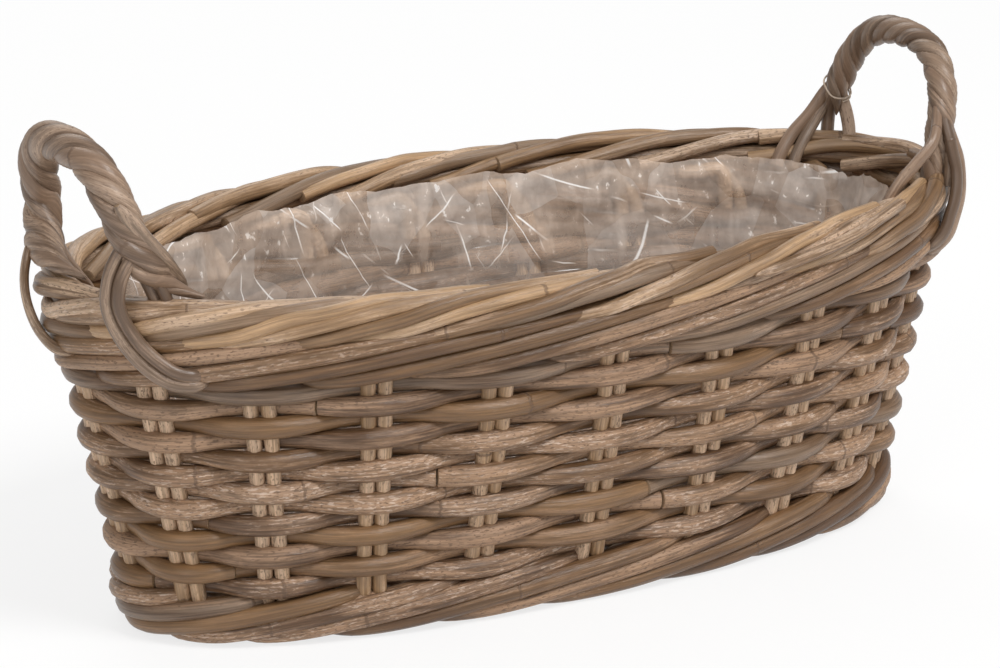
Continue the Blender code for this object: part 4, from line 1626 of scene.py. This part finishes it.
    def _strand(self, strand: int, size: float, sides: Route) -> tuple[Route, Laid]:
        """Centre line of one strand and how it is laid.

        Args:
            strand: number of the strand.
            size: half width of the strand.
            sides: sideways direction at each point of the line.

        Returns:
            The points of its centre line, and the way it is laid.
        """
        line = self.line[0]
        last = len(line) - 1
        end = round(last * self.shares[strand])
        runs = (self.front_run, self.back_run)
        route, facing, radii = [], [], []
        for index, travelled in enumerate(lengths_along(line[:end + 1])):
            level = heading_at(line, index).cross(sides[index])
            turn = self.phase + 2 * math.pi * (strand / self.strands - travelled / self.lay)
            turn += self.stray * noise_at(travelled * 30, strand * 5, self.phase)
            radial = sides[index] * math.cos(turn) + level * math.sin(turn)
            left = self.step * min(index, last - index)
            full = 0.0 if runs[index > last / 2] else self.upright_fullness
            full = blend(full, 1.0, eased(left / self.thinning))
            loose = 1 + self.looseness * noise_at(travelled * 40, strand * 7, 3)
            out = (self.radius - self.strand_thickness) * loose * blend(0.15, 1.0, full)
            route.append(line[index] + radial * out)
            facing.append(radial)
            swell = 1 + self.swell * noise_at(travelled * 35, strand * 3, 9)
            radii.append(size * swell * blend(0.45, 1.0, full))
        flat = self.strand_thickness / self.strand_width
        tapers = (self.run_taper if self.front_run else 0.0,
                  self.run_taper if self.back_run else self.end_taper * (end < last))
        return route, Laid(radii, flat, facing, *tapers, lumps=0.09)

    def build(self) -> None:
        """Build the strands of the bow as one piece."""
        canes = CaneMesh(seed=self.seed, sides=14)
        sides = self._sides()
        for strand in range(self.strands):
            size = self.strand_width * canes.random.uniform(0.92, 1.06)
            canes.lay(*self._strand(strand, size, sides))
        node = f"{self.name}_handle_bow"
        canes.piece(f"{self.name}_handle_rope", Cane.ROPE, "handle_strands", [node])


@dataclass(frozen=True)
class Strand:
    """Strand that leaves a handle and is tied off on the border or the wall.

    Attributes:
        name: object name.
        node: node that it stands for, or an empty string.
        leg: leg that its knots are counted from, or None for the front's middle.
        knots: pairs past the leg, reaches and heights over the rim.
        width: half width of a cane.
        flatness: thickness as a share of the width.
        taper: length over which the far end comes to a point, or 0 for a cut end.
        start: points in the right rope from which the strand comes: share of its line, and
            distances along the normal of its plane and towards its opening.
        offsets: sideways shift of each of its parallel canes.
        kind: kind of cane.
        step: distance from one ring of points to the next.
        start_taper: length over which the near end comes to a point.
        gather: share by which parallel canes draw together towards the far end.
    """

    name: str
    node: str
    leg: Leg | None
    knots: tuple[Triple, ...]
    width: float
    flatness: float
    taper: float = 0.0
    start: tuple[Triple, ...] = ()
    offsets: tuple[float, ...] = (0.0,)
    kind: Cane = Cane.ROPE
    step: float = 0.0026
    start_taper: float = 0.012
    gather: float = 0.30

    def _line(self, rope: Rope) -> tuple[Route, Route]:
        """Middle line of the strand.

        Args:
            rope: rope that the strand may come from.

        Returns:
            Its points and the wall's outward direction at each.
        """
        leg = self.leg.place if self.leg else 0.0
        places = [leg + past for past, _, _ in self.knots]
        knots = [rope.spot(*spot) for spot in self.start]
        knots += [WALL.point(place, reach, WALL.rim_height + height)
                  for place, (_, reach, height) in zip(places, self.knots)]
        places = [places[0]] * len(self.start) + places
        line = smooth_route(knots, self.step)
        outs = smooth_route([knot + WALL.outward(place, WALL.rim_height)
                             for knot, place in zip(knots, places)], self.step)
        share = (len(outs) - 1) / (len(line) - 1)
        return line, [outs[round(i * share)] - point for i, point in enumerate(line)]

    def build(self, rope: Rope) -> None:
        """Build the strand's canes as one piece.

        Args:
            rope: rope that the strand may come from.
        """
        canes = CaneMesh(seed=sum(map(ord, self.name)))
        line, outs = self._line(rope)
        last = len(line) - 1
        for offset in self.offsets:
            route, facing = [], []
            for index, point in enumerate(line):
                heading = line[min(index + 1, last)] - line[max(index - 1, 0)]
                aside = heading.cross(outs[index]).normalized()
                drawn_in = 1 - self.gather * eased((index / last - 0.7) / 0.3)
                route.append(point + aside * offset * drawn_in)
                facing.append(aside.cross(heading).normalized())
            size = self.width * canes.random.uniform(0.95, 1.05)
            tapers = (self.start_taper, self.taper)
            canes.lay(route, Laid(size, self.flatness, facing, *tapers, lumps=0.08))
        canes.piece(self.name, self.kind, "handle_strands", [self.node] if self.node else [])


@dataclass(frozen=True)
class Handles:
    """The two roped handles, with the strands that tie them to the border."""

    ropes: tuple[Rope, ...] = (
        Rope("left", (Leg.LEFT_FRONT, Leg.LEFT_BACK), 0.0097, 0.0670, 0.0030, 4, 0.062, 0.0053,
             0.0043, 0.4, (1.0, 1.0, 1.0, 1.0), 704,
             ((16.13, -0.0010, 0.0190), (16.22, -0.0040, 0.0100), (16.37, -0.0066, 0.0038),
              (16.57, -0.0088, -0.0010)),
             ((14.34, 0.0010, 0.0165), (14.66, 0.0000, 0.0105), (15.00, -0.0020, 0.0066),
              (15.36, -0.0050, 0.0030))),
        Rope("right", (Leg.RIGHT_FRONT, Leg.RIGHT_BACK), 0.0077, 0.0620, 0.0025, 4, 0.045,
             0.0043, 0.0037, 1.0, (0.86, 0.90, 0.84, 0.88), 705),
    )
    strands: tuple[Strand, ...] = (
        Strand("left_front_lashing_canes", "left_front_lashing", Leg.LEFT_FRONT, (
            (0.05, -0.0025, 0.0290), (-0.02, 0.0005, 0.0278), (-0.095, 0.0045, 0.0225),
            (-0.16, 0.0110, 0.0130), (-0.19, 0.0150, 0.0015), (-0.17, 0.0154, -0.0085),
            (-0.095, 0.0152, -0.0188), (0.025, 0.0150, -0.0278), (0.19, 0.0144, -0.0350),
            (0.36, 0.0120, -0.0374), (0.47, 0.0060, -0.0374),
        ), 0.0034, 0.85, 0.008, offsets=(-0.0033, 0.0033)),
        Strand("left_back_lashing_cane", "left_back_lashing", Leg.LEFT_BACK, (
            (0.20, 0.0000, 0.0205), (0.36, 0.0050, 0.0150), (0.46, 0.0105, 0.0065),
            (0.50, 0.0147, -0.0050), (0.54, 0.0159, -0.0175), (0.74, 0.0152, -0.0265),
            (0.98, 0.0130, -0.0320), (1.12, 0.0060, -0.0345),
        ), 0.0029, 0.75, 0.010, kind=Cane.BORDER),
        Strand("left_front_tail_canes", "left_front_tail", Leg.LEFT_FRONT, (
            (-0.085, 0.0040, 0.0480), (0.015, 0.0000, 0.0335), (0.120, -0.0050, 0.0210),
            (0.20, -0.0105, 0.0115), (0.29, -0.0135, 0.0030),
        ), 0.0052, 0.72, 0.022),
        Strand("left_core_strand", "", Leg.LEFT_FRONT, (
            (-0.02, 0.0010, 0.0230), (0.06, -0.0010, 0.0085), (0.115, -0.0020, -0.0040),
            (0.135, -0.0020, -0.0120),
        ), 0.0029, 0.9, offsets=(-0.0029, 0.0027)),
        Strand("left_back_tail_cane", "left_back_tail", Leg.LEFT_BACK, (
            (0.05, 0.0000, 0.0290), (0.28, -0.0035, 0.0140), (0.58, -0.0068, 0.0060),
            (0.90, -0.0090, 0.0012), (1.14, -0.0105, -0.0030),
        ), 0.0046, 0.72, 0.030),
        Strand("right_front_lashing_canes", "right_front_lashing", Leg.RIGHT_FRONT, (
            (0.03, 0.0070, 0.0150), (0.03, 0.0125, 0.0035), (-0.03, 0.0158, -0.0085),
            (-0.09, 0.0160, -0.0195), (-0.17, 0.0150, -0.0290), (-0.25, 0.0080, -0.0385),
        ), 0.0039, 0.85, 0.008, ((0.30, 0.001, 0.0), (0.20, 0.0015, -0.001)),
            (-0.0036, 0.0036)),
        Strand("right_upper_tail_cane", "right_upper_tail", Leg.RIGHT_BACK, (
            (0.06, 0.0000, 0.0200), (0.18, -0.0020, 0.0090), (0.32, -0.0060, 0.0000),
            (0.42, -0.0110, -0.0090), (0.46, -0.0130, -0.0160),
        ), 0.0036, 0.75, start=((0.74, 0.0, -0.001), (0.81, 0.0, -0.0035))),
        Strand("right_lower_tail_cane", "right_lower_tail", Leg.RIGHT_BACK, (
            (0.05, 0.0010, 0.0150), (0.13, -0.0030, 0.0050), (0.20, -0.0080, -0.0030),
            (0.26, -0.0120, -0.0110), (0.28, -0.0130, -0.0170),
        ), 0.0033, 0.75, start=((0.78, -0.001, -0.001), (0.85, -0.002, -0.003))),
        Strand("right_front_leg_strand", "", Leg.RIGHT_FRONT, (
            (0.03, 0.0035, 0.0150), (0.04, 0.0080, 0.0045), (0.03, 0.0095, -0.0060),
        ), 0.0040, 0.85, start=((0.28, 0.001, 0.0), (0.19, 0.0005, -0.001))),
        Strand("right_core_rod", "", Leg.RIGHT_BACK, (
            (0.01, 0.0035, 0.0100), (0.01, 0.0040, 0.0000), (0.01, 0.0040, -0.0100),
        ), 0.0038, 1.0, start=((0.76, 0.0, -0.0015), (0.84, 0.0, -0.0015))),
        Strand("right_back_outer_strand", "", Leg.RIGHT_BACK, (
            (-0.10, 0.0010, 0.0190), (-0.17, 0.0015, 0.0100), (-0.22, 0.0010, 0.0020),
            (-0.25, 0.0000, -0.0070),
        ), 0.0038, 0.85, start=((0.74, 0.0, 0.001), (0.81, 0.0, 0.0025))),
        Strand("right_front_inner_strand", "", Leg.RIGHT_FRONT, (
            (-0.22, -0.0010, 0.0200), (-0.38, -0.0050, 0.0100), (-0.50, -0.0090, 0.0010),
            (-0.58, -0.0120, -0.0090), (-0.62, -0.0130, -0.0170),
        ), 0.0040, 0.75, start=((0.29, -0.002, 0.0), (0.21, -0.004, -0.002))),
        Strand("loose_border_rod", "", None, (
            (1.10, 0.0128, -0.0138), (1.54, 0.0130, -0.0103), (2.08, 0.0122, -0.0068),
            (2.50, 0.0100, -0.0023), (2.82, 0.0084, 0.0002),
        ), 0.0030, 0.95, kind=Cane.BORDER),
    )

    def build(self) -> None:
        """Build both ropes, the string on the right one and all their strands."""
        for rope in self.ropes:
            rope.build()
        right = self.ropes[1]
        right.bind(0.820, 1.25, 0.0076, 0.024)
        for strand in self.strands:
            strand.build(right)


# Liner


@dataclass(frozen=True)
class FilmLiner:
    """Crumpled clear film that stands inside the wall.

    Attributes:
        around: points round the film.
        up: parts from the middle of its floor to its edge, a floor_share of them on the floor.
        top: height of its edge at the front; at the back it is higher by far_rise.
        waving: height of the waves of the edge, and jags that of its short jags.
        fold_in: distance by which the edge folds inwards.
        corner: radius of the bend from the floor to the wall.
        inset: distance from the line of the stakes.
        hole: size of the first ring on the floor, as a share of the floor.
        flat: length and width of the sheet laid flat.
    """

    around: int = 300
    up: int = 60
    floor_share: float = 0.25
    floor: float = 0.0243
    top: float = 0.1660
    far_rise: float = 0.0085
    waving: float = 0.005
    jags: float = 0.0016
    fold_in: float = 0.006
    corner: float = 0.016
    inset: float = 0.0130
    crumple: float = 0.0075
    hole: float = 0.03
    flat: tuple[float, float] = (0.41, 0.68)
    area: float = 0.205

    def _inset(self, height: float) -> float:
        """Distance of the smooth film from the line of the stakes at a height."""
        bend = max(0.0, 1 - (height - self.floor) / self.corner)
        return self.inset + self.corner * (1 - math.sqrt(max(0.0, 1 - bend ** 2)))

    def _push(self, point: Vector) -> float:
        """Inward push of the crumpled film.

        Args:
            point: point of the smooth film.

        Returns:
            The distance by which it is pushed.
        """
        wide = perlin.noise(point * 26 + Vector((5, 1, 9)))
        fold = abs(perlin.noise(point * 42 + Vector((1, 7, 3))))
        small = abs(perlin.noise(point * 105 + Vector((8, 2, 4))))
        push = 0.55 + 0.55 * wide + 0.9 * (0.35 - min(fold, 0.35)) + 0.35 * small
        return max(0.0, self.crumple * push)

    def _column(self, angle: float) -> list[tuple[Vector, Vector]]:
        """Points of the film from the middle of its floor to its edge.

        Args:
            angle: parameter of the oval.

        Returns:
            Each point, before and after the film is crumpled.
        """
        x, y = math.cos(angle), math.sin(angle)
        wave, jag = noise_at(x * 6, y * 6, 2), noise_at(x * 26, y * 26, 5)
        top = self.top + self.far_rise * max(0.0, y) + self.waving * wave + self.jags * jag
        middle, outward = WALL.frame_at(angle, self.floor)
        corner = middle - outward * self._inset(self.floor)
        column = []
        for j in range(self.up + 1):
            share = j / self.up
            if share < self.floor_share:
                out = blend(self.hole, 1.0, share / self.floor_share)
                rest = Vector((corner.x * out, corner.y * out, self.floor))
                shift = Vector((0, 0, self._push(rest) * 0.4 * eased(out)))
            else:
                rise = (share - self.floor_share) / (1 - self.floor_share)
                height = blend(self.floor, top, rise)
                middle, outward = WALL.frame_at(angle, height)
                rest = middle - outward * self._inset(height)
                fold_in = self.fold_in * eased((height - 0.140) / 0.02) * (0.5 + wave)
                shift = -outward * (self._push(rest) + max(0.0, fold_in))
            column.append((rest, rest + shift))
        return column

    def build(self) -> None:
        """Build the film."""
        columns = [self._column(2 * math.pi * i / self.around) for i in range(self.around)]
        places, verts = zip(*(pair for column in columns for pair in column))
        row = self.up + 1
        starts = [i * row for i in range(self.around)]
        faces = [(near + j, far + j, far + j + 1, near + j + 1)
                 for near, far in zip(starts, starts[1:] + starts[:1]) for j in range(self.up)]
        faces.append(tuple(reversed(starts)))
        mesh = bpy.data.meshes.new("film_liner_sheet")
        mesh.from_pydata(verts, [], faces)
        rests = mesh.attributes.new("film_place", "FLOAT_VECTOR", "POINT")
        rests.data.foreach_set("vector", np.ravel(places))
        mesh.shade_smooth()
        mesh.materials.append(FilmFinish().material())
        film = bpy.data.objects.new("film_liner_sheet", mesh)
        settle(film, "liner", "liner_film", ["film_liner"])
        LOG.info("film area %.3f square metres", sum(face.area for face in mesh.polygons))


# Stage


@dataclass(frozen=True)
class Stage:
    """Camera, floor and soft studio light.

    Attributes:
        eye: place of the camera; bearing, height and roll are in degrees, lens in millimetres.
        reach: half length of the floor, which lies lower than the foot by drop.
        lamps: name, place, length of side and watts of each lamp, all turned to aim.
        glow: strength of the surroundings as light on the basket.
    """

    eye: Triple = (-0.90854, -1.69557, 0.72658)
    bearing: float = -28.0
    height: float = 17.59
    roll: float = 0.591
    lens: float = 143.885
    reach: float = 9.0
    drop: float = 0.0004
    aim: Triple = (0.0, 0.0, 0.1)
    lamps: tuple[tuple[str, Triple, float, float], ...] = (
        ("key", (0.7, -1.9, 2.5), 1.0, 63.0), ("side", (-2.1, -1.6, 1.6), 1.5, 16.0),
        ("back", (0.4, 2.0, 1.9), 1.5, 16.0),
    )
    glow: float = 0.44

    def _camera(self) -> None:
        """Camera at the viewing angle."""
        a, e, r = (math.radians(v) for v in (self.bearing, self.height, self.roll))
        back = Vector((math.sin(a) * math.cos(e), -math.cos(a) * math.cos(e), math.sin(e)))
        right = Vector((math.cos(a), math.sin(a), 0))
        up = back.cross(right)
        right, up = right * math.cos(r) - up * math.sin(r), right * math.sin(r) + up * math.cos(r)
        data = bpy.data.cameras.new("view")
        data.lens = self.lens
        data.sensor_width = 36
        data.clip_start = 0.05
        camera = bpy.data.objects.new("view", data)
        turn = Matrix((right, up, back)).transposed().to_4x4()
        camera.matrix_world = Matrix.Translation(Vector(self.eye)) @ turn
        bpy.context.scene.collection.objects.link(camera)
        bpy.context.scene.camera = camera

    def _floor(self) -> None:
        """Wide pale floor."""
        mesh = bpy.data.meshes.new("floor")
        signs = ((-1, -1), (1, -1), (1, 1), (-1, 1))
        corners = [(x * self.reach, y * self.reach, -self.drop) for x, y in signs]
        mesh.from_pydata(corners, [], [(0, 1, 2, 3)])
        mesh.materials.append(FloorFinish().material())
        floor = bpy.data.objects.new("floor", mesh)
        bpy.context.scene.collection.objects.link(floor)
        floor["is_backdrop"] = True

    def _lamp(self, name: str, place: Triple, size: float, power: float) -> None:
        """Soft square lamp aimed at the basket.

        Args:
            name: object name.
            place: where it stands.
            size: length of its side.
            power: watts.
        """
        data = bpy.data.lights.new(name, "AREA")
        data.size = size
        data.energy = power
        lamp = bpy.data.objects.new(name, data)
        turn = (Vector(self.aim) - Vector(place)).to_track_quat("-Z", "Y")
        lamp.matrix_world = Matrix.Translation(Vector(place)) @ turn.to_matrix().to_4x4()
        bpy.context.scene.collection.objects.link(lamp)

    def _world(self) -> None:
        """White surroundings that light the basket softly."""
        world = bpy.data.worlds.new("studio")
        bpy.context.scene.world = world
        world.use_nodes = True
        tree = world.node_tree
        tree.nodes["Background"].inputs["Color"].default_value = (1.0, 1.0, 1.0, 1.0)
        seen = tree.nodes.new("ShaderNodeLightPath")
        strength = tree.nodes.new("ShaderNodeMapRange")
        strength.inputs["To Min"].default_value = self.glow
        strength.inputs["To Max"].default_value = 1.0
        tree.links.new(seen.outputs["Is Camera Ray"], strength.inputs["Value"])
        tree.links.new(strength.outputs["Result"], tree.nodes["Background"].inputs["Strength"])

    def build(self) -> None:
        """Build camera, floor, lamps and world."""
        self._camera()
        self._floor()
        for lamp in self.lamps:
            self._lamp(*lamp)
        self._world()
        bpy.context.scene.view_settings.view_transform = "Standard"


def main() -> None:
    """Build the scene, piece by piece."""
    logging.basicConfig(level=logging.INFO, format="%(message)s")
    Stage().build()
    Stakes().build()
    WovenRows().build()
    for winding in Windings:
        winding.value.build()
    Base().build()
    Handles().build()
    FilmLiner().build()
    sizes = {"cad": CAD_BOUNDS, "visual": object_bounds()}
    plain = {name: [[float(x) for x in corner] for corner in box] for name, box in sizes.items()}


if __name__ == "__main__":
    main()
